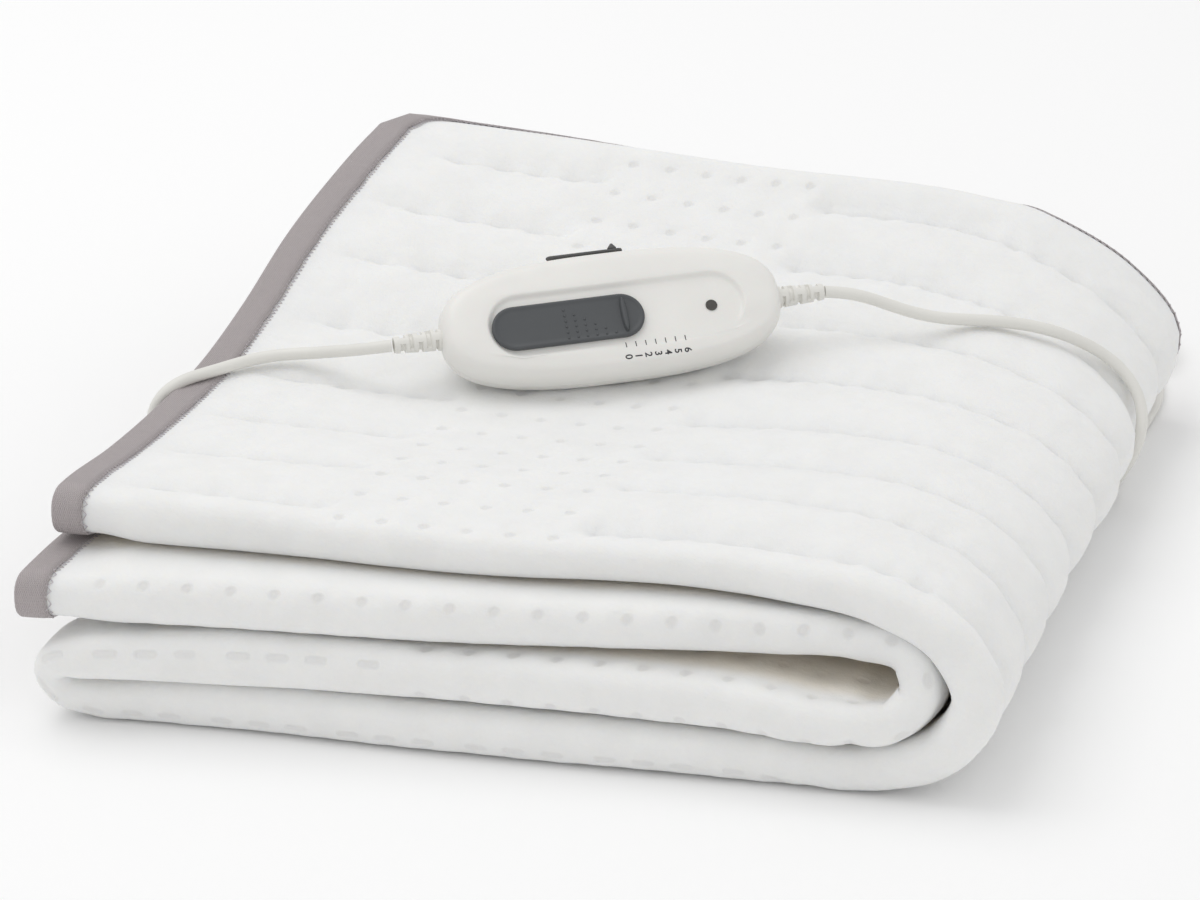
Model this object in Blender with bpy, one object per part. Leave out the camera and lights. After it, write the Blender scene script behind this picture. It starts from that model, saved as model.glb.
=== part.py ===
"""Electric heated underblanket with its hand control, folded for storage.

The quilted sheet is folded in half across its width, with that fold at the front, and then
in half and in half again along its length. Four doubled layers lie on each other, called
D, C, B and A from the bottom up. One round fold at the left joins D and C, and two nested
round folds at the right join C with B and D with A. The bound ends of A and B lie at the left.

Axes: X runs along the folded layers, Y from the front fold to the bound edges at the back,
Z up. The origin is under the middle of the pile. Tables are in millimetres.
"""
import math

import bmesh
import bpy
import numpy as np
from mathutils import Matrix, Vector

MM = 0.001
CLEAR = 0.3                    # gap between pieces that touch

# ---------------------------------------------------------------- the sheet, laid flat
SHEET_LENGTH = 1500.0          # along u, from the bound end of A to the bound end of B
SHEET_WIDTH = 800.0            # along v, the front fold is at v = 0
HALF_WIDTH = SHEET_WIDTH / 2
LAYER = 22.0                   # a doubled layer where its thickness factor is 1
SLIT = 1.2                     # between the two plies of a doubled layer
CORNER = 30.0                  # radius of the sheet's corners
TONGUE = 4.0                   # thickness of a ply where the binding holds it
BOUND = 12.0                   # width of the binding on each face
PUFF = 20.0                    # distance over which the ply swells to its full thickness
CHANNEL = 47.5                 # pitch of the quilting seams across the sheet
SEAM_DEPTH = 1.3               # how far a seam draws the face in

# ---------------------------------------------------------------- the folded section
# The middle line of the doubled layers, from the bound end of A to that of B. x and z at
# the front fold and at the back edge, lead = how far this part of the front fold lies
# behind the foremost part, thick = thickness factor, steps = rows since the last station.
STATIONS = (
    # name          x_front z_front lead  x_back z_back thick steps
    ("A end",            6,   77.0,  42,    -8,    77.0, 1.02, 0),
    ("A left",          62,   77.0,  44,    51,    77.0, 1.02, 1),
    ("A mid",          160,   77.0,  46,   148,    77.0, 1.02, 4),
    ("A right",        300,   79.0,  46,   270,    77.5, 0.98, 4),
    ("outer top",      345,   77.5,  38,   308,    74.0, 0.98, 2),
    ("outer shoulder", 374,   65.0,  31,   343,    61.0, 0.97, 2),
    ("outer side",     386,   44.0,  27,   361,    42.0, 0.97, 2),
    ("outer heel",     375,   22.0,  26,   350,    22.0, 0.95, 2),
    ("outer bottom",   345,   10.2,  26,   322,    10.4, 0.91, 2),
    ("D right",        300,    9.5,  24,   284,     9.5, 0.87, 1),
    ("D mid",          180,    9.5,  20,   180,     9.5, 0.87, 2),
    ("D left",          50,    9.4,  18,    50,     9.4, 0.86, 1),
    ("left bottom",     29,    9.9,  16,    29,     9.9, 0.84, 1),
    ("left heel",     16.8,   13.2,  14,  16.8,    13.2, 0.76, 1),
    ("left side",       13,   20.5,  11,    13,    20.5, 0.72, 2),
    ("left shoulder", 16.8,   27.8,   8,  16.8,    27.8, 0.76, 2),
    ("left top",        29,   30.9,   7,    29,    30.9, 0.88, 1),
    ("C left",          54,   31.2,  12,    54,    31.2, 0.96, 2),
    ("C mid",          180,   31.2,  21,   180,    31.2, 0.96, 2),
    ("C right",        290,   30.9,  23,   270,    30.9, 0.95, 2),
    ("inner bottom",   334,   31.0,  21,   304,    31.0, 0.86, 2),
    ("inner heel",     353,   34.6,  23,   321,    33.6, 0.78, 1),
    ("inner side",     360,   44.2,  28,   327,    42.0, 0.74, 2),
    ("inner shoulder", 353,   53.8,  35,   321,    50.4, 0.76, 2),
    ("inner top",      334,   57.4,  40,   304,    53.0, 0.79, 1),
    ("B right",        300,   57.3,  38,   270,    54.2, 0.84, 2),
    ("B mid",          180,   54.0,  27,   180,    54.0, 0.96, 3),
    ("B left",          60,   54.0,  17,    60,    54.0, 0.96, 3),
    ("B end",            3,   54.0,  11,     0,    54.0, 0.96, 0),
)
END_ROWS = (0, 5, 16.5, 26, 38)     # rows near each bound end, by their distance from it
PLY_COLUMNS = (0, 3, 6, 8.7)        # columns over the round front fold
EDGE_COLUMNS = (0, 16.5, 34)        # columns near each bound long edge
COLUMNS_AHEAD, COLUMNS_BEHIND = 14, 15
CORNER_COLUMN = 60.0                # the outermost columns, which follow the rounded corners

# The pile is soft: its top sinks in the middle and stands up at the back left. Height of
# the top in mm, for a depth behind the front plane and a place along X.
NOMINAL_TOP = 88.2
HEIGHT_X = (-10, 60, 185, 290, 400)
HEIGHTS = (
    # depth   left  left-mid  middle  right-mid  right
    (0,       (89,    89,      89,      89,       89)),
    (50,      (90,    88,      85,      86,       88)),
    (100,     (83,    84,      84,      86,       86)),
    (150,     (80,    78,      76,      80,       82)),
    (200,     (80,    76,      69,      75,       80)),
    (250,     (88,    82,      71,      75,       80)),
    (300,     (101,   94,      80,      79,       82)),
    (350,     (109,   100,     87,      83,       83)),
    (400,     (114,   105,     95,      93,       88)),
    (440,     (107,   99,      90,      88,       84)),
)
LEAN = 0.13                    # how far the pile leans to +X for each mm of depth
MIDDLE_X = 212.0               # of the tables' x, where X = 0 is at the front plane
MIDDLE_Y = 215.0               # of the depth, where Y = 0

# The hand control lies in the dip on the top, tipped towards the front. The ply behind its
# lower side is rucked up and carries it.
CONTROL_CENTRE = (-22.8, 31.8, 97.0)
CONTROL_YAW, CONTROL_ROLL, CONTROL_TILT = 27.0, 2.0, 42.0
PROP = dict(x=-19.9, y=25.9, rise=23.0, fall=32.0, height=12.0, flat=38.0, ends=36.0)


def hermite(knots, values, x, slope=False):
    """Smooth curve through a table: cubic pieces with the slopes of its neighbours,
    and straight on past both ends. values has a row for each knot."""
    knots = np.asarray(knots, float)
    values = np.asarray(values, float).reshape(len(knots), -1)
    x = np.asarray(x, float)
    run = np.diff(knots)[:, None]
    rise = np.diff(values, axis=0) / run
    tangent = np.empty_like(values)
    tangent[0], tangent[-1] = rise[0], rise[-1]
    weight = run[:-1] + run[1:]
    tangent[1:-1] = (rise[:-1] * run[1:] + rise[1:] * run[:-1]) / weight
    i = np.clip(np.searchsorted(knots, x) - 1, 0, len(knots) - 2)
    h = run[i]
    t = ((x - knots[i])[:, None]) / h
    before, after = np.minimum(t, 0), np.maximum(t - 1, 0)
    t = np.clip(t, 0, 1)
    a, b, m, n = values[i], values[i + 1], tangent[i] * h, tangent[i + 1] * h
    if slope:
        return (6 * t * t - 6 * t) * (a - b) / h + ((3 * t * t - 4 * t + 1) * m + (3 * t * t - 2 * t) * n) / h
    point = ((2 * t ** 3 - 3 * t * t + 1) * a + (t ** 3 - 2 * t * t + t) * m
             + (3 * t * t - 2 * t ** 3) * b + (t ** 3 - t * t) * n)
    return point + before * m + after * n


def smoothstep(x):
    x = np.clip(x, 0.0, 1.0)
    return x * x * (3 - 2 * x)


def prop(x, y):
    """Lift of the top ply where it is rucked up behind and under the hand control."""
    turn = math.radians(CONTROL_YAW)
    dx, dy = x - PROP["x"], y - PROP["y"]
    along = dx * math.cos(turn) + dy * math.sin(turn)
    back = dy * math.cos(turn) - dx * math.sin(turn)
    rise = smoothstep(back / PROP["rise"]) * (1 - smoothstep((back - PROP["rise"] - 2) / PROP["fall"]))
    return PROP["height"] * rise * (1 - smoothstep((np.abs(along) - PROP["flat"]) / PROP["ends"]))


class Pile:
    """Turns a place on the flat sheet into a place on the folded pile."""

    def __init__(self):
        names = [row[0] for row in STATIONS]
        table = np.array([row[1:7] for row in STATIONS], float)
        self.front, self.back = table[:, 0:2], table[:, 3:5]
        self.lead, self.thick = table[:, 2], table[:, 5]
        chord = np.linalg.norm(np.diff(self.front, axis=0), axis=1)
        self.knots = np.concatenate(([0], np.cumsum(chord)))
        fine = np.linspace(0, self.knots[-1], 3001)
        path = hermite(self.knots, self.front, fine)
        length = np.concatenate(([0], np.cumsum(np.linalg.norm(np.diff(path, axis=0), axis=1))))
        self.path_length = length[-1]
        self.fine, self.flat = fine, length * SHEET_LENGTH / length[-1]
        self.place = dict(zip(names, np.interp(self.knots, fine, self.flat)))

    def knot(self, u):
        """Table parameter for a distance u along the flat sheet."""
        q = np.interp(u, self.flat, self.fine)
        rate = self.fine[-1] / SHEET_LENGTH
        return q + np.minimum(u, 0) * rate + np.maximum(u - SHEET_LENGTH, 0) * rate

    def ply(self, u):
        """Full thickness of one ply."""
        q = self.knot(u)
        return hermite(self.knots, self.thick, q)[:, 0] * LAYER / 2 - SLIT / 2

    def height(self, x, depth):
        """Factor on z that makes the pile as uneven as it is."""
        depths = [row[0] for row in HEIGHTS]
        across = hermite(HEIGHT_X, np.eye(len(HEIGHT_X)), np.clip(x, HEIGHT_X[0], HEIGHT_X[-1]))
        along = hermite(depths, np.eye(len(depths)), np.clip(depth, depths[0], depths[-1]))
        return np.sum((along @ np.array([row[1] for row in HEIGHTS], float)) * across, axis=1) / NOMINAL_TOP

    def surface(self, u, v, w):
        """Point for u along the sheet, v from the fold and w from the ply's middle,
        w > 0 on the face that is outside when the sheet is folded in half. In metres."""
        u, v, w = (np.asarray(a, float).ravel() for a in np.broadcast_arrays(u, v, w))
        q = self.knot(u)
        ply = hermite(self.knots, self.thick, q)[:, 0] * LAYER / 2 - SLIT / 2
        radius = ply / 2 + SLIT / 2
        turn = np.clip(v / radius, -math.pi / 2, math.pi / 2)
        depth = radius - (radius + w) * np.cos(turn) + np.maximum(np.abs(v) - radius * math.pi / 2, 0)
        rise = (radius + w) * np.sin(turn)
        share = 1 - (1 - np.clip(depth / HALF_WIDTH, 0, 1)[:, None]) ** 2
        middle = (1 - share) * hermite(self.knots, self.front, q) + share * hermite(self.knots, self.back, q)
        along = ((1 - share) * hermite(self.knots, self.front, q, slope=True)
                 + share * hermite(self.knots, self.back, q, slope=True))
        along /= np.linalg.norm(along, axis=1)[:, None]
        x = middle[:, 0] - along[:, 1] * rise
        z = middle[:, 1] + along[:, 0] * rise
        depth = depth + hermite(self.knots, self.lead, q)[:, 0]
        z = np.maximum(z, 0) * self.height(x, depth)
        x, y = x - MIDDLE_X + LEAN * depth, depth - MIDDLE_Y
        on_top = (u < self.place["A right"]) & (v > 0)
        return np.stack((x, y, z + np.where(on_top, prop(x, y), 0)), axis=1) * MM


# ---------------------------------------------------------------- quilting and edges
# Where the first seam behind the front fold runs, on the sheet, and where dots replace lines.
SEAM_START = (("A end", 20), ("A right", 20), ("outer side", 18), ("D right", 14), ("D left", 12),
              ("C left", 2), ("C mid", 0), ("B right", 5), ("B end", 7))
DOTS_ON_A = (105.0, 207.0)
DOTS_FROM_C = 95.0             # dots start this far after the station "C left"

# ---------------------------------------------------------------- the hand control
CONTROL_LENGTH, CONTROL_WIDTH = 148.0, 57.0
BASE_RINGS = ((-12.0, 0.74), (-10.5, 0.88), (-6.0, 0.97), (-1.15, 1.0))     # height, scale
TOP_RINGS = ((-0.85, 1.0), (4.0, 0.985), (8.0, 0.93), (11.0, 0.83), (12.0, 0.70))
RECESS = dict(centre=(1.3, -3.0), length=110.0, width=27.0, floor=10.6)
SLIDER = dict(centre=(-18.9, -2.2), length=66.0, width=20.0, bottom=10.9, top=12.9)
SLIDER_TRAVEL = 26.0
RIDGE = dict(x=5.7, width=2.4, length=15.0, height=1.6)
LENS = dict(centre=(44.0, -2.6), radius=2.5, top=11.3)
TRACK = dict(x=-10.7, y=29.3, z=2.0, length=33.5, height=3.2, thick=1.0)
KNOB = dict(x=1.7, length=4.0, height=2.6, thick=2.4)
KNOB_TRAVEL = 24.0
RELIEF_START, RELIEF_END = 74.4, 94.0

# ---------------------------------------------------------------- leads, coil and plug
CORD = 5.2                     # diameter of both leads
BLANKET_LEAD = (
    (-107.3, -11.3, 93.7), (-113.5, -13.6, 93.2), (-122.5, -13.0, 91.0), (-132.0, -8.5, 87.6),
    (-143.5, -4.5, 84.0), (-156.0, -3.5, 82.2), (-168.0, -7.5, 82.0), (-177.0, -15.5, 82.6),
    (-185.0, -26.0, 83.4), (-193.0, -36.0, 82.6), (-200.5, -43.0, 77.5), (-205.0, -47.0, 68.5),
    (-205.5, -45.5, 58.5), (-203.0, -37.0, 51.5), (-199.0, -24.0, 49.5), (-194.7, -6.0, 50.0),
    (-190.5, 14.0, 52.5), (-187.0, 33.0, 54.0))
MAINS_LEAD = (
    (61.5, 74.8, 100.2), (71.0, 79.0, 99.0), (82.0, 83.5, 95.5), (94.0, 87.5, 91.0),
    (109.0, 93.5, 86.5), (125.0, 101.0, 84.6), (141.0, 106.5, 82.5), (157.5, 112.3, 78.5),
    (174.0, 118.5, 72.0), (186.0, 121.8, 65.5), (196.0, 120.0, 57.5), (202.8, 111.5, 49.5),
    (205.8, 99.5, 41.6), (206.0, 88.5, 33.2), (203.7, 83.0, 23.2), (200.2, 85.4, 13.0),
    (197.0, 93.5, 5.8), (195.0, 106.0, 3.1), (194.2, 124.0, 3.0), (195.0, 146.0, 3.0),
    (196.5, 166.0, 3.0), (198.0, 184.0, 3.0), (197.8, 200.0, 3.0), (194.6, 214.0, 3.0),
    (189.2, 226.0, 3.0), (184.8, 238.0, 3.0), (183.2, 251.2, 3.0))
COIL = dict(centre=(147.0, 268.0), radius=31.0, bundle=8.6, lift=9.0)    # bundle = radius of its section
CONNECTOR = dict(centre=(-183.6, 47.5, 54.0), length=26.0, width=7.5, height=14.0)
PLUG = dict(centre=(91.1, 274.9, 8.2), turn=210.0, length=35.0, width=27.0, height=15.0)
PIN = dict(radius=2.0, length=19.0, spacing=18.6)

MATERIALS = {
    "quilt": ((0.93, 0.93, 0.92), 0.9),
    "binding": ((0.62, 0.57, 0.58), 0.85),
    "ivory plastic": ((0.86, 0.84, 0.78), 0.35),
    "dark plastic": ((0.09, 0.10, 0.11), 0.45),
    "ivory cord": ((0.86, 0.84, 0.78), 0.5),
    "lens": ((0.12, 0.10, 0.10), 0.15),
    "pin metal": ((0.75, 0.73, 0.70), 0.25),
}


def seam_start(pile, u):
    """v of the first seam line behind the front fold, at a distance u along the sheet."""
    return np.interp(u, [pile.place[name] for name, _ in SEAM_START], [v for _, v in SEAM_START])


def edge_distance(u, v):
    """Distance from the sheet's rounded outline, inwards."""
    along = np.minimum(u, SHEET_LENGTH - u)
    across = HALF_WIDTH - np.abs(v)
    corner = CORNER - np.hypot(np.maximum(CORNER - along, 0), np.maximum(CORNER - across, 0))
    return np.where((along < CORNER) & (across < CORNER), corner, np.minimum(along, across))


def faces(pile, u, v):
    """Offsets of the outer and the inner face from the ply's middle."""
    full = pile.ply(u) / 2
    inside = np.maximum(np.minimum(u, SHEET_LENGTH - u), HALF_WIDTH - np.abs(v))
    at_corner = smoothstep((CORNER + 30 - inside) / 15)
    puff = smoothstep((edge_distance(u, v) - BOUND - 4 - 5 * at_corner) / PUFF)
    half = TONGUE / 2 + (full - TONGUE / 2) * puff
    middle = (full - TONGUE / 2) * 0.4 * (1 - puff)
    phase = (v - seam_start(pile, u)) / CHANNEL
    dotted = ((u > DOTS_ON_A[0]) & (u < DOTS_ON_A[1])) | (u > pile.place["C left"] + DOTS_FROM_C)
    pressed = (u > pile.place["D right"]) & (u < pile.place["D left"]) & (v > 0)    # lies flat on the table
    drawn = SEAM_DEPTH * (0.5 + 0.5 * np.cos(2 * math.pi * phase)) * puff * ~dotted * ~pressed * (np.abs(v) > 15)
    return middle + half - drawn, middle - half


def sheet_rows(pile):
    rows = list(END_ROWS)
    places = [pile.place[row[0]] for row in STATIONS]
    for i in range(1, len(STATIONS) - 1):
        steps = STATIONS[i][7]
        rows += [places[i - 1] + (places[i] - places[i - 1]) * (k + 1) / steps for k in range(steps)]
    return np.array(rows + [SHEET_LENGTH - s for s in reversed(END_ROWS)])


def sheet_columns(pile, u):
    """v of every column at u: over the fold, then on and midway between the seams."""
    start = seam_start(pile, u)
    near_edge = [HALF_WIDTH - s for s in reversed(EDGE_COLUMNS)]
    ahead = [max(start, 14.0)] + [start + CHANNEL / 2 * k for k in range(1, COLUMNS_AHEAD + 1)]
    behind = [min(start - CHANNEL / 2, -14.0)]
    behind += [start - CHANNEL / 2 * k for k in range(2, COLUMNS_BEHIND + 1)]
    half = list(PLY_COLUMNS)
    out = [-x for x in reversed(near_edge)] + behind[::-1] + [-x for x in reversed(half[1:])]
    out = np.array(out + half + ahead + near_edge)
    along = min(u, SHEET_LENGTH - u)
    if along < CORNER:                         # draw the outer columns in round the corner
        reach = HALF_WIDTH - CORNER + math.sqrt(CORNER ** 2 - (CORNER - along) ** 2)
        inside = HALF_WIDTH - CORNER_COLUMN
        outer = np.abs(out) > inside
        drawn = inside + (np.abs(out) - inside) * (reach - inside) / CORNER_COLUMN
        out = np.where(outer, np.sign(out) * drawn, out)
    return out


# ---------------------------------------------------------------- making the objects
def place_object(mesh, name, material):
    obj = bpy.data.objects.new(name, mesh)
    part.objects.link(obj)
    mesh.materials.append(shades[material])
    return obj


def solid(name, points, polygons, material):
    """A closed object from points in metres and the polygons between them."""
    mesh = bpy.data.meshes.new(name)
    mesh.from_pydata([tuple(p) for p in points], [], polygons)
    mesh.update()
    return place_object(mesh, name, material)


def blanket(pile):
    rows = sheet_rows(pile)
    grid = np.array([sheet_columns(pile, u) for u in rows])
    count, width = grid.shape
    u = np.repeat(rows, width)
    v = grid.ravel()
    outer, inner = faces(pile, u, v)
    points = np.concatenate((pile.surface(u, v, outer), pile.surface(u, v, inner)))
    under = count * width
    quads = []
    for i in range(count - 1):
        for j in range(width - 1):
            a = i * width + j
            quads.append((a, a + 1, a + width + 1, a + width))
            quads.append((under + a, under + a + width, under + a + width + 1, under + a + 1))
    rim = ([j for j in range(width)] + [i * width + width - 1 for i in range(1, count)]
           + [(count - 1) * width + j for j in range(width - 2, -1, -1)]
           + [i * width for i in range(count - 2, 0, -1)])
    for a, b in zip(rim, rim[1:] + rim[:1]):
        quads.append((a, under + a, under + b, b))
    return solid("blanket", points, quads, "quilt"), u[rim], v[rim]


def binding(pile, u, v):
    """Ribbon folded over the sheet's edge: a U-shaped section led round the outline."""
    along = np.minimum(u, SHEET_LENGTH - u)
    round_u = np.where(u < SHEET_LENGTH / 2, CORNER, SHEET_LENGTH - CORNER)
    round_v = np.sign(v) * (HALF_WIDTH - CORNER)
    at_corner = (along < CORNER) & (np.abs(v) > HALF_WIDTH - CORNER - 0.01)
    inward_u = np.where(at_corner, round_u - u, np.where(along < 0.01, np.sign(SHEET_LENGTH / 2 - u), 0))
    inward_v = np.where(at_corner, round_v - v, np.where(along < 0.01, 0, -np.sign(v)))
    length = np.hypot(inward_u, inward_v)
    inward_u, inward_v = inward_u / length, inward_v / length
    outer, inner = faces(pile, np.clip(u, 0, SHEET_LENGTH), v)
    ribbon, gap = 1.0, 0.45
    section = (                      # distance inwards, share between the faces, beyond a face
        (BOUND, 1, gap + ribbon), (-gap - ribbon, 1, gap + ribbon * 0.4), (-gap - ribbon, 0, gap + ribbon * 0.4),
        (BOUND, 0, gap + ribbon), (BOUND, 0, gap), (-gap, 0, gap), (-gap, 1, gap), (BOUND, 1, gap))
    loops = []
    for inwards, side, beyond in section:
        w = np.where(side, outer + beyond, inner - beyond)
        loops.append(pile.surface(u + inward_u * inwards, v + inward_v * inwards, w))
    points = np.concatenate(loops)
    count = len(u)
    quads = []
    for k in range(len(section)):
        m = (k + 1) % len(section)
        for a in range(count):
            b = (a + 1) % count
            quads.append((k * count + a, k * count + b, m * count + b, m * count + a))
    return solid("binding", points, quads, "binding")


def oval(length, width, z, centre=(0, 0), power=2.7, count=32):
    """Outline of a rounded body, evenly spaced by angle."""
    out = []
    for k in range(count):
        c, s = math.cos(2 * math.pi * k / count), math.sin(2 * math.pi * k / count)
        x = math.copysign(abs(c) ** (2 / power), c) * length / 2
        y = math.copysign(abs(s) ** (2 / power), s) * width / 2
        out.append((centre[0] + x, centre[1] + y, z))
    return out


def stadium(length, width, z, centre=(0, 0), count=32):
    """Outline with straight sides and round ends."""
    straight = (length - width) / 2
    out = []
    for k in range(count):
        a = 2 * math.pi * k / count
        c, s = math.cos(a), math.sin(a)
        side = 1 if c >= 0 else -1
        out.append((centre[0] + c * width / 2 + side * straight, centre[1] + s * width / 2, z))
    return out


def stack(name, rings, material, matrix):
    """Closed body through a stack of outlines that have the same number of points."""
    count = len(rings[0])
    points = [matrix @ (Vector(p) * MM) for outline in rings for p in outline]
    polygons = [tuple(range(count))[::-1], tuple(range(len(points) - count, len(points)))]
    for r in range(len(rings) - 1):
        for k in range(count):
            a, b = r * count + k, r * count + (k + 1) % count
            polygons.append((a, b, b + count, a + count))
    return solid(name, points, polygons, material)


def block(name, size, centre, material, matrix, bevel=0.0):
    mesh = bpy.data.meshes.new(name)
    shape = bmesh.new()
    bmesh.ops.create_cube(shape, size=1.0)
    bmesh.ops.scale(shape, vec=Vector(size) * MM, verts=shape.verts)
    bmesh.ops.translate(shape, vec=Vector(centre) * MM, verts=shape.verts)
    if bevel:
        bmesh.ops.bevel(shape, geom=shape.edges[:], offset=bevel * MM, segments=2, affect="EDGES", profile=0.5)
    bmesh.ops.transform(shape, matrix=matrix, verts=shape.verts)
    shape.to_mesh(mesh)
    shape.free()
    return place_object(mesh, name, material)


def tube(name, route, points, material):
    """Round cord of constant thickness along a smooth curve through the route."""
    route = np.array(route)
    chord = np.concatenate(([0], np.cumsum(np.linalg.norm(np.diff(route, axis=0), axis=1))))
    line = hermite(chord, route, np.linspace(0, chord[-1], points)) * MM
    curve = bpy.data.curves.new(name, "CURVE")
    curve.dimensions = "3D"
    spline = curve.splines.new("POLY")
    spline.points.add(points - 1)
    for point, at in zip(spline.points, line):
        point.co = (*at, 1)
    curve.bevel_depth = CORD / 2 * MM
    curve.bevel_resolution = 2
    curve.use_fill_caps = True
    return place_object(curve, name, material)


def control_matrix():
    """Local x runs along the control, y up its face, z out of its face."""
    turn = (Matrix.Rotation(math.radians(CONTROL_YAW), 4, "Z")
            @ Matrix.Rotation(math.radians(-CONTROL_ROLL), 4, "Y")
            @ Matrix.Rotation(math.radians(CONTROL_TILT), 4, "X"))
    return Matrix.Translation(Vector(CONTROL_CENTRE) * MM) @ turn


def control():
    at = control_matrix()

    def shell(z, scale):
        inset = CONTROL_WIDTH * (1 - scale)
        return oval(CONTROL_LENGTH - inset, CONTROL_WIDTH - inset, z)

    stack("control_base", [shell(*ring) for ring in BASE_RINGS], "ivory plastic", at)
    rim = [stadium(RECESS["length"] + grow, RECESS["width"] + grow, z, RECESS["centre"])
           for grow, z in ((2.0, 12.1), (0.0, 11.6), (-2.0, RECESS["floor"]))]
    stack("control_top", [shell(*ring) for ring in TOP_RINGS] + rim, "ivory plastic", at)

    plate = [stadium(SLIDER["length"] - cut, SLIDER["width"] - cut, z, SLIDER["centre"], 28)
             for cut, z in ((0, SLIDER["bottom"]), (0, SLIDER["top"] - 0.6), (1.2, SLIDER["top"]))]
    slider = stack("power_slider", plate, "dark plastic", at)
    ridge = block("slider_ridge", (RIDGE["width"], RIDGE["length"], 2 * RIDGE["height"]),
                  (RIDGE["x"], SLIDER["centre"][1], SLIDER["top"]), "dark plastic", at, 0.7)
    join = slider.modifiers.new("ridge", "BOOLEAN")
    join.operation, join.solver, join.object = "UNION", "EXACT", ridge
    part.objects.unlink(ridge)
    cutters.objects.link(ridge)
    ridge.hide_render, ridge.display_type = True, "WIRE"

    rings = [oval(2 * r, 2 * r, z, LENS["centre"], 2, 16)
             for r, z in ((LENS["radius"], RECESS["floor"] + CLEAR), (LENS["radius"], LENS["top"] - 0.2),
                          (LENS["radius"] * 0.6, LENS["top"] + 0.2))]
    stack("status_lens", rings, "lens", at)

    block("timer_track", (TRACK["length"], TRACK["thick"], TRACK["height"]),
          (TRACK["x"], TRACK["y"], TRACK["z"]), "dark plastic", at, 0.3)
    block("timer_knob", (KNOB["length"], KNOB["thick"], KNOB["height"]),
          (KNOB["x"], TRACK["y"] + TRACK["thick"] / 2 + CLEAR + KNOB["thick"] / 2, TRACK["z"]),
          "dark plastic", at, 0.5)

    # ribbed sleeves where the leads leave the ends
    ribs = 3
    for side, name in ((-1, "relief_left"), (1, "relief_right")):
        rings = []
        pitch = (RELIEF_END - RELIEF_START) / ribs
        for k in range(ribs):
            radius = 4.6 - 0.4 * k
            for share, r in ((0.0, radius), (0.55, radius - 0.1), (0.6, radius - 1.0), (0.95, radius - 1.1)):
                x = side * (RELIEF_START + pitch * (k + share))
                rings.append([(x, r * math.cos(a), side * r * math.sin(a))
                              for a in [2 * math.pi * n / 10 for n in range(10)]])
        stack(name, rings, "ivory cord", at)


def leads():
    tube("blanket_lead", BLANKET_LEAD, 30, "ivory cord")
    tube("mains_lead", MAINS_LEAD, 48, "ivory cord")
    beside = Matrix.Translation(Vector(CONNECTOR["centre"]) * MM) @ Matrix.Rotation(-math.atan(LEAN), 4, "Z")
    block("blanket_connector", (CONNECTOR["width"], CONNECTOR["length"], CONNECTOR["height"]),
          (0, 0, 0), "ivory plastic", beside, 2.0)

    # the length that isn't needed, wound up: a turned ring
    mesh = bpy.data.meshes.new("mains_coil")
    shape = bmesh.new()
    outline = [(COIL["bundle"] * math.cos(a), COIL["bundle"] * math.sin(a))
               for a in [2 * math.pi * (n + 0.5) / 10 for n in range(10)]]
    corners = [shape.verts.new(((COIL["radius"] + x) * MM, 0, (COIL["lift"] + z) * MM)) for x, z in outline]
    edges = [shape.edges.new((a, b)) for a, b in zip(corners, corners[1:] + corners[:1])]
    bmesh.ops.spin(shape, geom=corners + edges, cent=(0, 0, 0), axis=(0, 0, 1), angle=2 * math.pi, steps=24,
                   use_merge=True)
    bmesh.ops.remove_doubles(shape, verts=shape.verts, dist=1e-6)
    bmesh.ops.recalc_face_normals(shape, faces=shape.faces)
    bmesh.ops.translate(shape, vec=(COIL["centre"][0] * MM, COIL["centre"][1] * MM, 0), verts=shape.verts)
    shape.to_mesh(mesh)
    shape.free()
    place_object(mesh, "mains_coil", "ivory cord")

    # flat two-pin plug, lying on its side next to the coil
    at = (Matrix.Translation(Vector(PLUG["centre"]) * MM)
          @ Matrix.Rotation(math.radians(PLUG["turn"]), 4, "Z") @ Matrix.Rotation(math.radians(90), 4, "Y"))
    half = PLUG["length"] / 2
    rings = [oval(PLUG["height"] * s, PLUG["width"] * t, z, power=3, count=24)
             for z, s, t in ((-half, 0.6, 0.36), (-half * 0.7, 0.9, 0.5), (-half * 0.3, 1.0, 0.7),
                             (half * 0.2, 1.0, 1.0), (half * 0.9, 1.0, 1.0), (half, 0.9, 0.95))]
    stack("plug_body", rings, "ivory cord", at)
    for side, name in ((-1, "plug_pin_left"), (1, "plug_pin_right")):
        rings = [oval(2 * r, 2 * r, z, (0, side * PIN["spacing"] / 2), 2, 12)
                 for r, z in ((PIN["radius"], half + CLEAR), (PIN["radius"], half + PIN["length"] - 1),
                              (PIN["radius"] - 0.6, half + PIN["length"]))]
        stack(name, rings, "pin metal", at)


for old in list(bpy.data.objects):
    bpy.data.objects.remove(old, do_unlink=True)
part = bpy.data.collections.new("electric heated blanket")
cutters = bpy.data.collections.new("cutters")
bpy.context.scene.collection.children.link(part)
bpy.context.scene.collection.children.link(cutters)
shades = {}
for label, (colour, roughness) in MATERIALS.items():
    shade = bpy.data.materials.new(label)
    shade.use_nodes = True
    surface = shade.node_tree.nodes["Principled BSDF"]
    surface.inputs["Base Color"].default_value = (*colour, 1)
    surface.inputs["Roughness"].default_value = roughness
    shades[label] = shade

folded = Pile()
_, edge_u, edge_v = blanket(folded)
binding(folded, edge_u, edge_v)
control()
leads()
for name in ("power_slider", "timer_knob"):     # moving pieces keep the control's own frame
    obj = part.objects[name]
    obj.data.transform(control_matrix().inverted())
    obj.matrix_world = control_matrix()
for obj in part.objects:
    if obj.type == "MESH":
        shape = bmesh.new()
        shape.from_mesh(obj.data)
        bmesh.ops.recalc_face_normals(shape, faces=shape.faces)
        shape.to_mesh(obj.data)
        shape.free()
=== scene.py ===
import math

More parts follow.
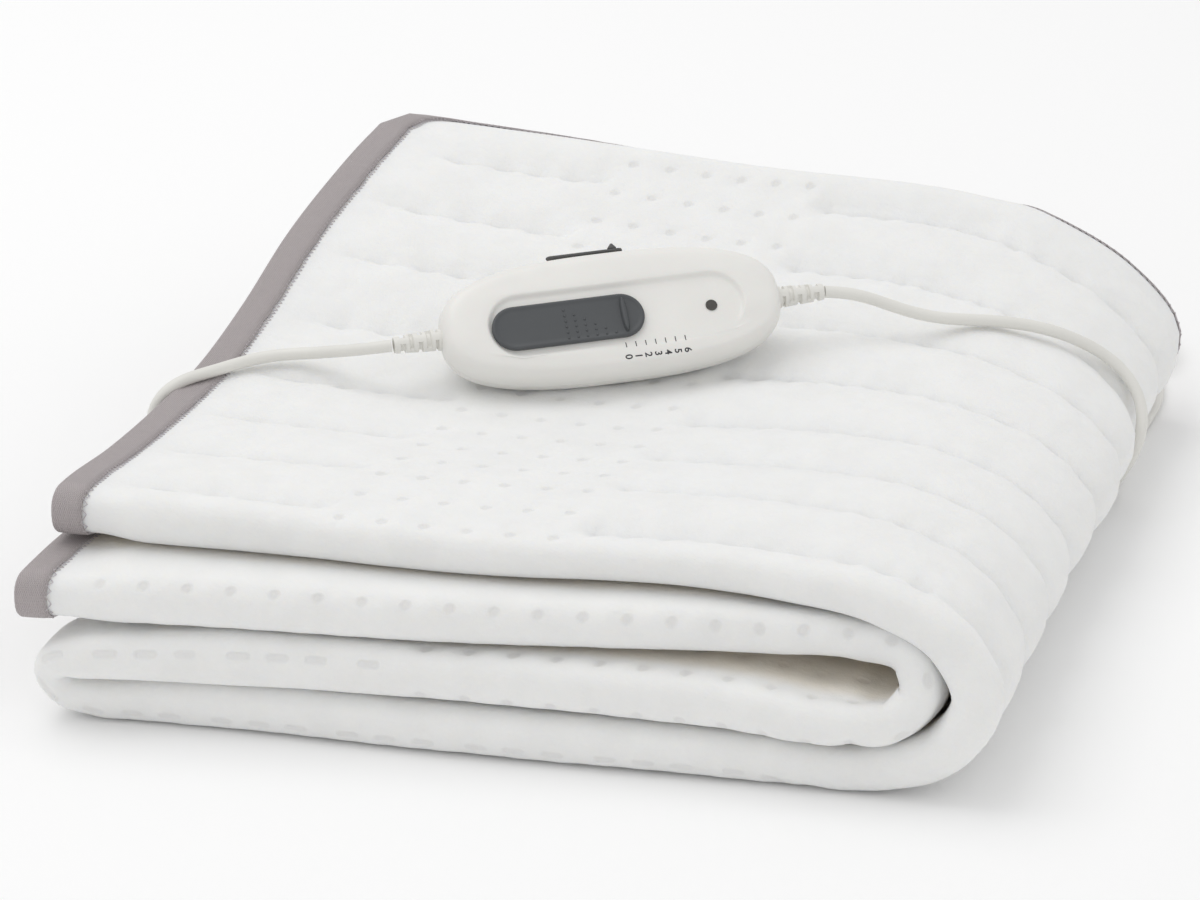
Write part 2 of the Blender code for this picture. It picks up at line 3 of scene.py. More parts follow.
import bmesh
import bpy
import numpy as np
from mathutils import Matrix, Vector


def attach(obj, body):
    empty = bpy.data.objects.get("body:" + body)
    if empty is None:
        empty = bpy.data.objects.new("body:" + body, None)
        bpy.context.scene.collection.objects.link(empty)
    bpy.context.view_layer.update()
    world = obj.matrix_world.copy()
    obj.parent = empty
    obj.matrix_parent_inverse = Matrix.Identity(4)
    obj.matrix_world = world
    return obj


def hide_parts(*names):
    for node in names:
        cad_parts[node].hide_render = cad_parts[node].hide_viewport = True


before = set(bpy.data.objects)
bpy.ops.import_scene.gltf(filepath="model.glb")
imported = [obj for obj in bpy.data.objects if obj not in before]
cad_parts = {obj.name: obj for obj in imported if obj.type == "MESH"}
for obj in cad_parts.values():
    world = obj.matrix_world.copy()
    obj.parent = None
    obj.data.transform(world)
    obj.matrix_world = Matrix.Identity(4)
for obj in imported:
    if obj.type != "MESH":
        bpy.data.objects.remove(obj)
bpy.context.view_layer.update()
mm = 0.001
print("packed frame loaded")

# camera, at the photograph's angle
view = dict(aim=(-0.0194, -0.0004, 0.05), azimuth=13.54, elevation=24.0, distance=2.35, lens=166.4)


def placeCamera():
    turn, lift = math.radians(view["azimuth"]), math.radians(view["elevation"])
    towards = Vector((-math.sin(turn) * math.cos(lift), math.cos(turn) * math.cos(lift), -math.sin(lift)))
    bpy.ops.object.select_all(action="DESELECT")
    bpy.ops.object.camera_add(location=Vector(view["aim"]) - towards * view["distance"],
                              rotation=(math.pi / 2 - lift, 0, turn))
    camera = bpy.context.object
    camera.name = "photoView"
    camera.data.lens = view["lens"]
    camera.data.sensor_width = 36.0
    bpy.context.scene.camera = camera


placeCamera()
print("camera placed")


# small helpers
def clearSelection():
    if bpy.context.object and bpy.context.object.mode != "OBJECT":
        bpy.ops.object.mode_set(mode="OBJECT")
    bpy.ops.object.select_all(action="DESELECT")


def pick(obj):
    clearSelection()
    bpy.context.view_layer.objects.active = obj
    obj.select_set(True)


def joinPieces(pieces):
    pick(pieces[0])
    for piece in pieces[1:]:
        piece.select_set(True)
    bpy.ops.object.join()
    return bpy.context.object


def turnOutwards():
    bpy.ops.object.mode_set(mode="EDIT")
    bpy.ops.mesh.select_all(action="SELECT")
    bpy.ops.mesh.normals_make_consistent(inside=False)
    bpy.ops.object.mode_set(mode="OBJECT")


def meshObject(name, points, polygons):
    mesh = bpy.data.meshes.new(name)
    mesh.from_pydata(points.tolist(), [], polygons)
    mesh.update()
    obj = bpy.data.objects.new(name, mesh)
    bpy.context.scene.collection.objects.link(obj)
    return obj


def placeOnMap(mesh, name, places):
    # a UV map from one place for each vertex
    corner = np.empty(len(mesh.loops), dtype=np.int32)
    layer = mesh.uv_layers.new(name=name)
    mesh.loops.foreach_get("vertex_index", corner)
    layer.data.foreach_set("uv", places[corner].ravel())


def lengthAlong(points):
    return np.concatenate(([0], np.cumsum(np.linalg.norm(np.diff(points, axis=0), axis=1))))


def curveThrough(knots, values, x, slope=False):
    # smooth curve through a table, straight on past both ends; one row of values for each knot
    knots = np.asarray(knots, float)
    values = np.asarray(values, float).reshape(len(knots), -1)
    x = np.asarray(x, float)
    run = np.diff(knots)[:, None]
    rise = np.diff(values, axis=0) / run
    tangent = np.empty_like(values)
    tangent[0], tangent[-1] = rise[0], rise[-1]
    tangent[1:-1] = (rise[:-1] * run[1:] + rise[1:] * run[:-1]) / (run[:-1] + run[1:])
    i = np.clip(np.searchsorted(knots, x) - 1, 0, len(knots) - 2)
    h = run[i]
    t = ((x - knots[i])[:, None]) / h
    before, after = np.minimum(t, 0), np.maximum(t - 1, 0)
    t = np.clip(t, 0, 1)
    a, b, m, n = values[i], values[i + 1], tangent[i] * h, tangent[i + 1] * h
    if slope:
        return (6 * t * t - 6 * t) * (a - b) / h + ((3 * t * t - 4 * t + 1) * m + (3 * t * t - 2 * t) * n) / h
    point = ((2 * t ** 3 - 3 * t * t + 1) * a + (t ** 3 - 2 * t * t + t) * m
             + (3 * t * t - 2 * t ** 3) * b + (t ** 3 - t * t) * n)
    return point + before * m + after * n


def easeIn(x):
    x = np.clip(x, 0.0, 1.0)
    return x * x * (3 - 2 * x)


def softNoise(u, v, cell, seed):
    # smooth unevenness between -1 and 1, the same each run
    table = np.random.default_rng(seed).uniform(-1, 1, (64, 64))
    x, y = np.asarray(u, float) / cell + 7.3, np.asarray(v, float) / cell + 31.7
    i, j = np.floor(x).astype(int), np.floor(y).astype(int)
    s, t = easeIn(x - i), easeIn(y - j)
    i0, i1, j0, j1 = i % 64, (i + 1) % 64, j % 64, (j + 1) % 64
    return ((table[i0, j0] * (1 - s) + table[i1, j0] * s) * (1 - t)
            + (table[i0, j1] * (1 - s) + table[i1, j1] * s) * t)


def smoothLine(points, spread):
    # evens a line out over a distance and keeps its ends
    points = np.asarray(points, float)
    step = np.linalg.norm(np.diff(points, axis=0), axis=1).sum() / (len(points) - 1)
    s = spread / step
    half = int(4 * s)
    weight = np.exp(-0.5 * (np.arange(-half, half + 1) / s) ** 2)
    weight /= weight.sum()
    longer = np.concatenate((2 * points[0] - points[half:0:-1], points, 2 * points[-1] - points[-2:-half - 2:-1]))
    return np.stack([np.convolve(longer[:, k], weight, "valid") for k in range(3)], axis=1)


def evenSteps(points, step):
    chord = lengthAlong(points)
    places = np.linspace(0, chord[-1], int(round(chord[-1] / step)) + 1)
    return np.stack([np.interp(places, chord, points[:, k]) for k in range(3)], axis=1)


# materials
def newMaterial(name, colour, roughness, **sockets):
    shade = bpy.data.materials.new(name)
    shade.use_nodes = True
    skin = shade.node_tree.nodes["Principled BSDF"]
    skin.inputs["Base Color"].default_value = (*colour, 1)
    skin.inputs["Roughness"].default_value = roughness
    for socket, value in sockets.items():
        skin.inputs[socket.replace("_", " ")].default_value = value
    return shade, shade.node_tree, skin


def addNode(tree, kind, settings=None, **inputs):
    made = tree.nodes.new("ShaderNode" + kind)
    for key, value in (settings or {}).items():
        setattr(made, key, value)
    for key, value in inputs.items():
        socket = made.inputs[int(key[1:]) if key[0] == "i" and key[1:].isdigit() else key.replace("_", " ")]
        if hasattr(value, "is_output"):
            tree.links.new(value, socket)
        else:
            socket.default_value = value
    return made


def sums(tree, operation, a, b=0.0, c=0.0):
    return addNode(tree, "Math", dict(operation=operation), i0=a, i1=b, i2=c).outputs[0]


def marked(tree, name):
    return addNode(tree, "Attribute", dict(attribute_name=name)).outputs["Fac"]


def noise(tree, place, scale, detail=3.0, rough=0.55):
    return addNode(tree, "TexNoise", Vector=place, Scale=scale, Detail=detail, Roughness=rough).outputs["Fac"]


def between(tree, value, low, high, toLow=0.0, toHigh=1.0):
    made = addNode(tree, "MapRange", dict(interpolation_type="SMOOTHSTEP"), Value=value, From_Min=low, From_Max=high,
                   To_Min=toLow, To_Max=toHigh)
    return made.outputs["Result"]


def mixColours(tree, share, a, b):
    made = addNode(tree, "Mix", dict(data_type="RGBA"))
    for socket, value in ((made.inputs[0], share), (made.inputs[6], a), (made.inputs[7], b)):
        if hasattr(value, "is_output"):
            tree.links.new(value, socket)
        else:
            socket.default_value = value if isinstance(value, float) else (*value, 1)
    return made.outputs[2]


def bump(tree, skin, height, distance, strength=1.0, below=None):
    made = addNode(tree, "Bump", Height=height, Distance=distance, Strength=strength)
    if below:
        tree.links.new(below, made.inputs["Normal"])
    tree.links.new(made.outputs["Normal"], skin.inputs["Normal"])
    return made.outputs["Normal"]


# the grey weld colour is partly the pressed cloth's own tone and partly painted shade in the weld dimples
# the warm crevice colour is painted shade, for where the folded layers press together
cloth = dict(white=(0.86, 0.86, 0.85), warmCreviceShade=(0.94, 0.87, 0.76), weldAndShade=(0.74, 0.735, 0.73), fibre=0.00022, rough=0.93,
             dotPitch=17.15, dotRow=23.75, dotStart=113.0, seamPitch=47.5, dashStep=15.3, dashGroup=51.5,
             dashCentre=5.0, dashHalf=2.6, dashesLong=2.6, dashReach=39.0)


def quiltMaterial():
    shade, tree, skin = newMaterial("quiltCloth", cloth["white"], cloth["rough"], Sheen_Weight=0.12,
                                    Sheen_Roughness=0.5, Specular_IOR_Level=0.25, Subsurface_Weight=0.35,
                                    Subsurface_Scale=0.008, Subsurface_Radius=(1.0, 0.9, 0.74))

    def work(operation, *values):
        return sums(tree, operation, *values)

    def fromLine(value, pitch):
        # distance from the nearest of a row of lines
        cell = work("FRACT", work("DIVIDE", value, pitch))
        return work("MULTIPLY", work("PINGPONG", cell, 0.5), pitch)

    def reach(a, b):
        return work("SQRT", work("ADD", work("MULTIPLY", a, a), work("MULTIPLY", b, b)))

    place = addNode(tree, "TexCoord").outputs["Object"]
    flat = addNode(tree, "SeparateXYZ", Vector=addNode(tree, "UVMap", dict(uv_map="flatPlace")).outputs[0]).outputs
    along, across = work("MULTIPLY", flat[0], 1000.0), work("MULTIPLY", flat[1], 1000.0)
    stretch = marked(tree, "stretch")
    # round welds in even rows
    dx = fromLine(work("SUBTRACT", along, cloth["dotStart"]), cloth["dotPitch"])
    dy = work("MULTIPLY", fromLine(work("SUBTRACT", across, cloth["dotRow"] / 2), cloth["dotRow"]), stretch)
    dots = between(tree, reach(dx, dy), 2.9, 1.1)
    # dashes in threes along the seams
    aside = work("MULTIPLY", fromLine(across, cloth["seamPitch"]), stretch)
    group = work("WRAP", work("SUBTRACT", along, marked(tree, "dashShift")), cloth["dashGroup"], 0.0)
    inGroup = work("LESS_THAN", group, cloth["dashesLong"] * cloth["dashStep"])
    middle = work("SUBTRACT", work("WRAP", group, cloth["dashStep"], 0.0), cloth["dashCentre"])
    beyond = work("MAXIMUM", work("SUBTRACT", work("ABSOLUTE", middle), cloth["dashHalf"]), 0.0)
    dashes = work("MULTIPLY", between(tree, reach(beyond, aside), 2.6, 0.8), inGroup)
    dashes = work("MULTIPLY", dashes, marked(tree, "front"))
    weldAndShade = addNode(tree, "Mix", Factor=marked(tree, "dotZone"), i2=dashes, i3=dots).outputs[0]
    weldAndShade = work("MULTIPLY", weldAndShade, marked(tree, "away"))
    # colour
    patchy = between(tree, noise(tree, place, 55.0, 4.0), 0.3, 0.75)
    base = mixColours(tree, patchy, cloth["white"], tuple(0.965 * c for c in cloth["white"]))
    # partly painted shade: the weld marks are tinted grey, darkest in the middle of their dimples
    base = mixColours(tree, work("MULTIPLY", weldAndShade, 0.45), base, cloth["weldAndShade"])
    # painted shade: a warm tint laid into the crevices between the folded layers
    base = mixColours(tree, marked(tree, "warmCreviceShade"), base, cloth["warmCreviceShade"])
    tree.links.new(base, skin.inputs["Base Color"])
    # fleece: short fibres over a soft pucker, with the welds pressed in
    fibres = work("ADD", noise(tree, place, 1500.0, 3.0, 0.6),
                  work("MULTIPLY", noise(tree, place, 420.0, 3.0, 0.6), 1.4))
    soft = bump(tree, skin, fibres, cloth["fibre"], 0.8)
    pucker = bump(tree, skin, noise(tree, place, 115.0, 2.0, 0.5), 0.0016, 0.5, soft)
    bump(tree, skin, work("MULTIPLY", weldAndShade, -1.0), 0.0006, 0.7, pucker)
    return shade


ribbon = dict(colour=(0.445, 0.405, 0.405), dark=(0.36, 0.32, 0.325), pale=(0.50, 0.46, 0.465), thread=900.0)


def ribbonMaterial():
    shade, tree, skin = newMaterial("wovenRibbon", ribbon["colour"], 0.85, Sheen_Weight=0.1, Specular_IOR_Level=0.3)
    flat = addNode(tree, "UVMap", dict(uv_map="ribbonPlace")).outputs[0]
    spot = addNode(tree, "SeparateXYZ", Vector=flat).outputs
    turn = 2 * math.pi * ribbon["thread"]
    warp = sums(tree, "SINE", sums(tree, "MULTIPLY", spot[0], turn))
    weft = sums(tree, "SINE", sums(tree, "MULTIPLY", spot[1], turn * 1.3))
    weave = sums(tree, "MULTIPLY", warp, weft)
    place = addNode(tree, "TexCoord").outputs["Object"]
    base = mixColours(tree, between(tree, weave, -0.7, 0.7), ribbon["dark"], ribbon["pale"])
    base = mixColours(tree, between(tree, noise(tree, place, 260.0, 3.0), 0.25, 0.8), base, ribbon["colour"])
    tree.links.new(base, skin.inputs["Base Color"])
    loose = bump(tree, skin, noise(tree, place, 700.0, 2.0), 0.0003, 0.4)
    bump(tree, skin, weave, 0.00018, 0.9, loose)
    return shade


def moulded(name, colour, roughness, grain, depth, patch=0.03, **sockets):
    # smooth plastic with a faint grain and slightly uneven gloss
    shade, tree, skin = newMaterial(name, colour, roughness, **sockets)
    place = addNode(tree, "TexCoord").outputs["Object"]
    uneven = noise(tree, place, 38.0, 4.0)
    base = mixColours(tree, between(tree, uneven, 0.3, 0.7), colour, tuple(c * (1 - patch) for c in colour))
    tree.links.new(base, skin.inputs["Base Color"])
    tree.links.new(between(tree, noise(tree, place, 90.0, 3.0), 0.2, 0.8, roughness - 0.05, roughness + 0.06),
                   skin.inputs["Roughness"])
    bump(tree, skin, noise(tree, place, grain, 2.0), depth, 0.5)
    return shade


finishes = dict(
    shell=moulded("ivoryShell", (0.82, 0.81, 0.78), 0.42, 900.0, 0.00006, Coat_Weight=0.08, Coat_Roughness=0.3,
                  Subsurface_Weight=0.04, Subsurface_Scale=0.004),
    slider=moulded("greySlider", (0.072, 0.077, 0.082), 0.5, 2200.0, 0.00008, 0.06),
    strip=moulded("greyStrip", (0.085, 0.085, 0.085), 0.5, 2200.0, 0.00006, 0.06),
    cordSkin=moulded("ivoryCordSkin", (0.77, 0.76, 0.72), 0.45, 700.0, 0.00008),
    ink=moulded("printedInk", (0.045, 0.046, 0.05), 0.6, 3000.0, 0.00002, 0.1),
    lens=moulded("smokedLens", (0.075, 0.068, 0.06), 0.22, 1200.0, 0.00003, 0.25, Coat_Weight=0.3),
    pins=moulded("nickelPins", (0.72, 0.70, 0.67), 0.28, 1800.0, 0.00003, 0.05, Metallic=1.0),
    thread=moulded("overlockThread", (0.60, 0.56, 0.58), 0.8, 2600.0, 0.0001, 0.12),
    strap=moulded("wovenTie", (0.33, 0.32, 0.31), 0.8, 1900.0, 0.00015, 0.1),
    quilt=quiltMaterial(),
    ribbon=ribbonMaterial(),
)
print("materials ready")


def finish(obj, material, body, slot, *nodes, angle=None):
    # angle: the sharpest bend, in degrees, that is shaded smooth
    if angle:
        pick(obj)
        bpy.ops.object.shade_smooth_by_angle(angle=math.radians(angle))
        obj.select_set(False)
    obj.data.materials.clear()
    obj.data.materials.append(finishes[material])
    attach(obj, body)
    if nodes:
        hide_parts(*nodes)
    return obj


# the two leads
cordSizes = dict(diameter=5.2, blanketLength=0.214, mainsLength=1.62, step=2.4, spread=5.0)
blanketRoute = (
    (-107.3, -11.3, 93.7), (-113.5, -13.6, 93.2), (-122.5, -13.0, 91.0), (-132.0, -8.5, 87.6),
    (-143.5, -4.5, 84.0), (-156.0, -4.5, 82.2), (-167.0, -9.5, 81.4), (-176.0, -18.5, 80.8),
    (-184.0, -29.0, 80.8), (-191.8, -38.5, 80.6), (-199.0, -45.2, 76.0), (-202.6, -48.0, 67.5),
    (-202.4, -46.0, 58.0), (-199.5, -38.0, 51.0), (-197.0, -25.0, 49.0), (-193.7, -6.0, 50.0),
    (-190.2, 14.0, 52.5), (-187.0, 33.0, 54.0))
mainsRoute = (
    (61.5, 74.8, 100.2), (71.0, 79.0, 99.0), (82.0, 83.0, 95.2), (94.0, 86.5, 90.2),
    (109.0, 92.0, 85.6), (125.0, 99.5, 83.2), (141.0, 105.5, 80.8), (157.0, 111.0, 76.2),
    (171.0, 116.0, 69.0), (180.5, 118.8, 62.2), (188.2, 118.4, 55.0), (193.6, 115.2, 48.0),
    (196.4, 109.5, 40.5), (196.2, 104.5, 32.2), (193.0, 102.0, 23.8), (188.6, 102.5, 15.8),
    (185.0, 106.5, 9.2), (183.4, 113.0, 5.0), (183.6, 121.0, 3.2), (183.4, 138.0, 3.0),
    (184.2, 158.0, 3.0), (185.6, 176.0, 3.0), (187.4, 194.0, 3.0), (188.6, 210.0, 3.0),
    (188.0, 225.0, 3.0), (185.6, 238.0, 3.0), (183.2, 251.2, 3.0))
coil = dict(centre=(147.0, 268.0), radius=31.0, bundle=6.15, lift=9.0, turns=6 + 120 / 360, slots=7, start=-30.0)
plug = dict(centre=(91.1, 274.9, 8.2), turn=210.0, length=35.0, width=27.0, height=15.0, pinSpacing=18.6)


def alongRoute(route, count=1200):
    route = np.array(route)
    chord = lengthAlong(route)
    return curveThrough(chord, route, np.linspace(0, chord[-1], count))


def woundLine():
    # the turns lie round a bundle, each in its own place of its section
    turn = np.linspace(0, 2 * math.pi * coil["turns"], 1600)
    roll = math.radians(coil["start"]) + turn / coil["slots"]
    out = coil["radius"] + coil["bundle"] * np.cos(roll)
    return np.stack((coil["centre"][0] + out * np.cos(turn), coil["centre"][1] + out * np.sin(turn),
                     coil["lift"] + coil["bundle"] * np.sin(roll)), axis=1)


def cordCurve(name, line):
    data = bpy.data.curves.new(name, "CURVE")
    data.dimensions = "3D"
    spline = data.splines.new("POLY")
    spline.points.add(len(line) - 1)
    spline.points.foreach_set("co", np.column_stack((line * mm, np.ones(len(line)))).ravel())
    spline.use_smooth = True
    data.bevel_depth = cordSizes["diameter"] / 2 * mm
    data.bevel_resolution = 6
    data.use_fill_caps = True
    obj = bpy.data.objects.new(name, data)
    bpy.context.scene.collection.objects.link(obj)
    return obj


def makeCords():
    line = evenSteps(smoothLine(alongRoute(blanketRoute), cordSizes["spread"]), cordSizes["step"])
    blanketCord = finish(cordCurve("blanketCord", line), "cordSkin", "blanket", "ivory_cord", "blanket_lead")
    lead, wound = alongRoute(mainsRoute), woundLine()
    lead = smoothLine(evenSteps(lead, 0.4), cordSizes["spread"])
    heading = math.radians(plug["turn"])
    back = np.array(plug["centre"]) - np.array([math.cos(heading), math.sin(heading), 0]) * (plug["length"] / 2 - 3)
    whole = evenSteps(np.concatenate((lead, wound, back[None])), 0.5)
    joined = smoothLine(whole, 2.6)
    line = evenSteps(joined, cordSizes["step"])
    mainsCord = finish(cordCurve("mainsCord", line), "cordSkin", "blanket", "ivory_cord", "mains_lead", "mains_coil")
    return blanketCord, mainsCord


blanketCord, mainsCord = makeCords()
print("leads laid")


# lofted pieces, from a circle that is extruded ring by ring
def loft(name, rings, matrix, closeFirst=True, closeLast=True):
    clearSelection()
    count = len(rings[0])
    bpy.ops.mesh.primitive_circle_add(vertices=count, radius=0.01)
    obj = bpy.context.object
    obj.name = obj.data.name = name
    bpy.ops.object.mode_set(mode="EDIT")
    shape = bmesh.from_edit_mesh(obj.data)
    spoke = shape.verts.layers.int.new("spoke")
    shape.verts.layers.int.new("layer")
    for i, v in enumerate(shape.verts):
        v[spoke] = i
        v.co = matrix @ (Vector(rings[0][i]) * mm)
    bmesh.update_edit_mesh(obj.data)
    for number, ring in enumerate(rings[1:], 1):
        bpy.ops.mesh.extrude_region()
        shape = bmesh.from_edit_mesh(obj.data)
        spoke, layer = shape.verts.layers.int["spoke"], shape.verts.layers.int["layer"]
        for v in shape.verts:
            if v.select:
                v[layer] = number
                v.co = matrix @ (Vector(ring[v[spoke]]) * mm)
        bmesh.update_edit_mesh(obj.data)
    bpy.ops.mesh.select_all(action="DESELECT")
    shape = bmesh.from_edit_mesh(obj.data)
    layer = shape.verts.layers.int["layer"]
    for end, wanted in ((0, closeFirst), (len(rings) - 1, closeLast)):
        if wanted:
            for e in shape.edges:
                e.select_set(all(v[layer] == end for v in e.verts))
            bmesh.update_edit_mesh(obj.data)
            bpy.ops.mesh.edge_face_add()
            bpy.ops.mesh.select_all(action="DESELECT")
            shape = bmesh.from_edit_mesh(obj.data)
            layer = shape.verts.layers.int["layer"]
    bpy.ops.object.mode_set(mode="OBJECT")
    turnOutwards()
    obj.select_set(False)
    return obj


def oval(length, width, z, centre=(0, 0), power=2.7, count=96):
    out = []
    for k in range(count):
        c, s = math.cos(2 * math.pi * k / count), math.sin(2 * math.pi * k / count)
        out.append((centre[0] + math.copysign(abs(c) ** (2 / power), c) * length / 2,
                    centre[1] + math.copysign(abs(s) ** (2 / power), s) * width / 2, z))
    return out


def stadium(length, width, z, centre=(0, 0), count=96):
    # straight sides and round ends, points spread evenly along the outline from its right end
    straight, radius = length - width, width / 2
    quarter = math.pi * radius / 2
    out = []
    for k in range(count):
        s = k / count * (2 * straight + 4 * quarter)
        onArc = (min(s, quarter) + min(max(s - quarter - straight, 0), 2 * quarter)
                 + max(s - 3 * quarter - 2 * straight, 0))
        x = straight / 2 - min(max(s - quarter, 0), straight) + min(max(s - 3 * quarter - straight, 0), straight)
        angle = onArc / radius
        out.append((centre[0] + x + radius * math.cos(angle), centre[1] + radius * math.sin(angle), z))
    return out


# the hand control
control = dict(centre=(-22.8, 31.8, 97.0), yaw=27.0, roll=2.0, tilt=42.0, length=148.0, width=57.0,
               base=((-12.0, 0.74), (-10.5, 0.88), (-6.0, 0.97), (-1.15, 1.0)),
               dome=((-0.85, 1.0), (2.6, 0.998), (5.6, 0.98), (8.2, 0.944), (10.0, 0.892), (11.0, 0.83), (11.35, 0.79)),
               joint=(-0.95, 0.985), section=28.0,
               recess=dict(centre=(0.8, -3.6), length=110.0, width=27.0, floor=10.55, mouth=12.25, sag=0.8, drop=1.7),
               slider=dict(centre=(-20.6, -4.7), length=66.0, width=20.0, bottom=10.9, top=12.9),
               ridge=dict(x=3.6, length=15.5, width=2.6),
               bumps=dict(x=-21.9, y=-12.4, across=4.1, up=2.6, columns=6, radius=0.55),
               lens=dict(centre=(42.0, -4.6), radius=2.5),
               ticks=dict(x=2.0, y=-18.0, pitch=4.3, count=7, height=2.4, width=0.36),
               numerals=dict(y=-23.5, size=4.3, bold=0.06, thick=0.12, proud=0.03),
               track=dict(x=-5.8, y=29.9, z=2.9, length=33.5, height=3.2),
               knob=dict(x=6.6, length=4.0, height=2.6),
               relief=dict(start=73.6, end=94.0, radius=4.7, taper=1.15, lip=0.25, groove=1.15, ribs=5.5))
controlPlace = (Matrix.Translation(Vector(control["centre"]) * mm)
                @ Matrix.Rotation(math.radians(control["yaw"]), 4, "Z")
                @ Matrix.Rotation(math.radians(-control["roll"]), 4, "Y")
                @ Matrix.Rotation(math.radians(control["tilt"]), 4, "X"))


def shellRing(z, scale, count=144):
    inset = control["width"] * (1 - scale)
    return oval(control["length"] - inset, control["width"] - inset, z, count=count)


def shellRows(table, count):
    # rings spread evenly along the section of a shell
    table = np.array(table)
    arc = lengthAlong(table * (1, control["section"]))
    return curveThrough(arc, table, np.linspace(0, arc[-1], count))


def makeShells():
    lower = loft("controlBase", [shellRing(z, s) for z, s in (*shellRows(control["base"], 18), control["joint"])],
                 controlPlace)
    finish(lower, "shell", "blanket", "ivory_plastic", "control_base", angle=40)

    spot = control["recess"]
    rings = [shellRing(z, s) for z, s in (control["joint"], *shellRows(control["dome"], 26))]
    mouth = stadium(spot["length"] + 3, spot["width"] + 3, spot["mouth"], spot["centre"], 144)

    def lowered(ring, depth):
        # the face runs level into the recess: wholly at the lower right, partly at the lower left
        out = []
        for x, y, z in ring:
            side = (y - spot["centre"][1]) / (spot["width"] / 2)
            out.append((x, y, z - depth * float(easeIn((-0.1 - side) / 0.8) * (0.4 + 0.6 * easeIn((x + 25) / 40)))))
        return out

    outer = rings[-1]
    for k, ring in enumerate(rings):
        if ring[0][2] > 8:
            scale = max(y for _, y, _ in ring) / (control["width"] / 2)
            rings[k] = lowered(ring, spot["sag"] * float(easeIn((0.93 - scale) / 0.14)))
    for share in (0.2, 0.4, 0.6, 0.8, 1.0):
        ring = [(p[0] + (q[0] - p[0]) * share, p[1] + (q[1] - p[1]) * share,
                 p[2] + (q[2] - p[2]) * math.sin(share * math.pi / 2)) for p, q in zip(outer, mouth)]
        rings.append(lowered(ring, spot["sag"] + (spot["drop"] - spot["sag"]) * share))
    for grow, share in ((2.2, 0.05), (1.3, 0.2), (0.4, 0.46), (-0.5, 0.74), (-1.5, 0.93), (-2.8, 1.0), (-8.0, 1.0)):
        ring = stadium(spot["length"] + grow, spot["width"] + grow, spot["mouth"], spot["centre"], 144)
        rings.append([(x, y, z - share * (z - spot["floor"])) for x, y, z in lowered(ring, spot["drop"])])
    upper = loft("controlTop", rings, controlPlace)
    finish(upper, "shell", "blanket", "ivory_plastic", "control_top", angle=35)
    return upper


def makeSlider():
    spot, ridge, bumps = control["slider"], control["ridge"], control["bumps"]
    rings = []
    for cut, z in ((0.6, spot["bottom"]), (0, spot["bottom"] + 0.3), (0, spot["top"] - 0.7), (0.25, spot["top"] - 0.3),
                   (0.9, spot["top"]), (2.6, spot["top"] + 0.02), (3.4, spot["top"] - 0.22), (6.0, spot["top"] - 0.3)):
        rings.append(stadium(spot["length"] - cut, spot["width"] - cut, z, spot["centre"], 112))
    pieces = [loft("powerSlider", rings, controlPlace)]
    base = spot["top"] - 0.4
    rings = [oval(ridge["width"] * s, ridge["length"] * t, z, (ridge["x"], spot["centre"][1]), 2.4, 40)
             for s, t, z in ((1.25, 1.05, base), (1.0, 1.0, base + 0.6), (0.9, 0.98, base + 1.2),
                             (0.62, 0.94, base + 1.75), (0.25, 0.88, base + 1.9))]
    pieces.append(loft("sliderRidge", rings, controlPlace))
    for i in range(bumps["columns"]):
        for j in range(bumps["columns"] - i):
            centre = (bumps["x"] + bumps["across"] * i, bumps["y"] + bumps["up"] * j)
            rings = [oval(2 * bumps["radius"] * s, 2 * bumps["radius"] * s, base + z, centre, 2, 12)
                     for s, z in ((1.0, 0.0), (0.95, 0.2), (0.7, 0.42), (0.3, 0.52))]
            pieces.append(loft("sliderBump", rings, controlPlace))
    slider = joinPieces(pieces)
    finish(slider, "slider", "power_slider", "dark_plastic", "power_slider", angle=45)


def makePrint(shell):
    ticks, numerals = control["ticks"], control["numerals"]
    pieces = []
    for k in range(ticks["count"]):
        x = ticks["x"] + ticks["pitch"] * k
        clearSelection()
        bpy.ops.object.text_add()
        words = bpy.context.object
        words.data.body = str(k)
        words.data.align_x, words.data.align_y = "CENTER", "CENTER"
        words.data.size = numerals["size"] * mm
        words.data.offset = numerals["bold"] * mm
        bpy.ops.object.convert(target="MESH")
        digit = bpy.context.object
        digit.name = "numeral"
        digit.data.transform(Matrix.Translation(Vector((x, numerals["y"], 0)) * mm)
                             @ Matrix.Rotation(-math.pi / 2, 4, "Z"))
        pieces.append(digit)
        clearSelection()
        bpy.ops.mesh.primitive_plane_add(size=1)
        mark = bpy.context.object
        bpy.ops.object.mode_set(mode="EDIT")
        bpy.ops.mesh.subdivide(number_cuts=3)
        bpy.ops.object.mode_set(mode="OBJECT")
        mark.data.transform(Matrix.Translation(Vector((x, ticks["y"], 0)) * mm)
                            @ Matrix.Diagonal((ticks["width"] * mm, ticks["height"] * mm, 1, 1)))
        pieces.append(mark)
    scale = joinPieces(pieces)
    scale.name = scale.data.name = "printedScale"
    # laid down on the moulded face
    back = controlPlace.inverted()
    down = (controlPlace.to_3x3() @ Vector((0, 0, -1))).normalized()
    for v in scale.data.vertices:
        x, y = v.co.x, v.co.y
        hit, where, _, _ = shell.ray_cast(controlPlace @ Vector((x, y, 30 * mm)), down)
        z = (back @ where).z if hit else 11.5 * mm
        v.co = controlPlace @ Vector((x, y, z + numerals["proud"] * mm))
    thick = scale.modifiers.new("ink", "SOLIDIFY")
    thick.thickness, thick.offset = numerals["thick"] * mm, 0.0
    pick(scale)
    bpy.ops.object.modifier_apply(modifier="ink")
    finish(scale, "ink", "blanket", "dark_plastic")


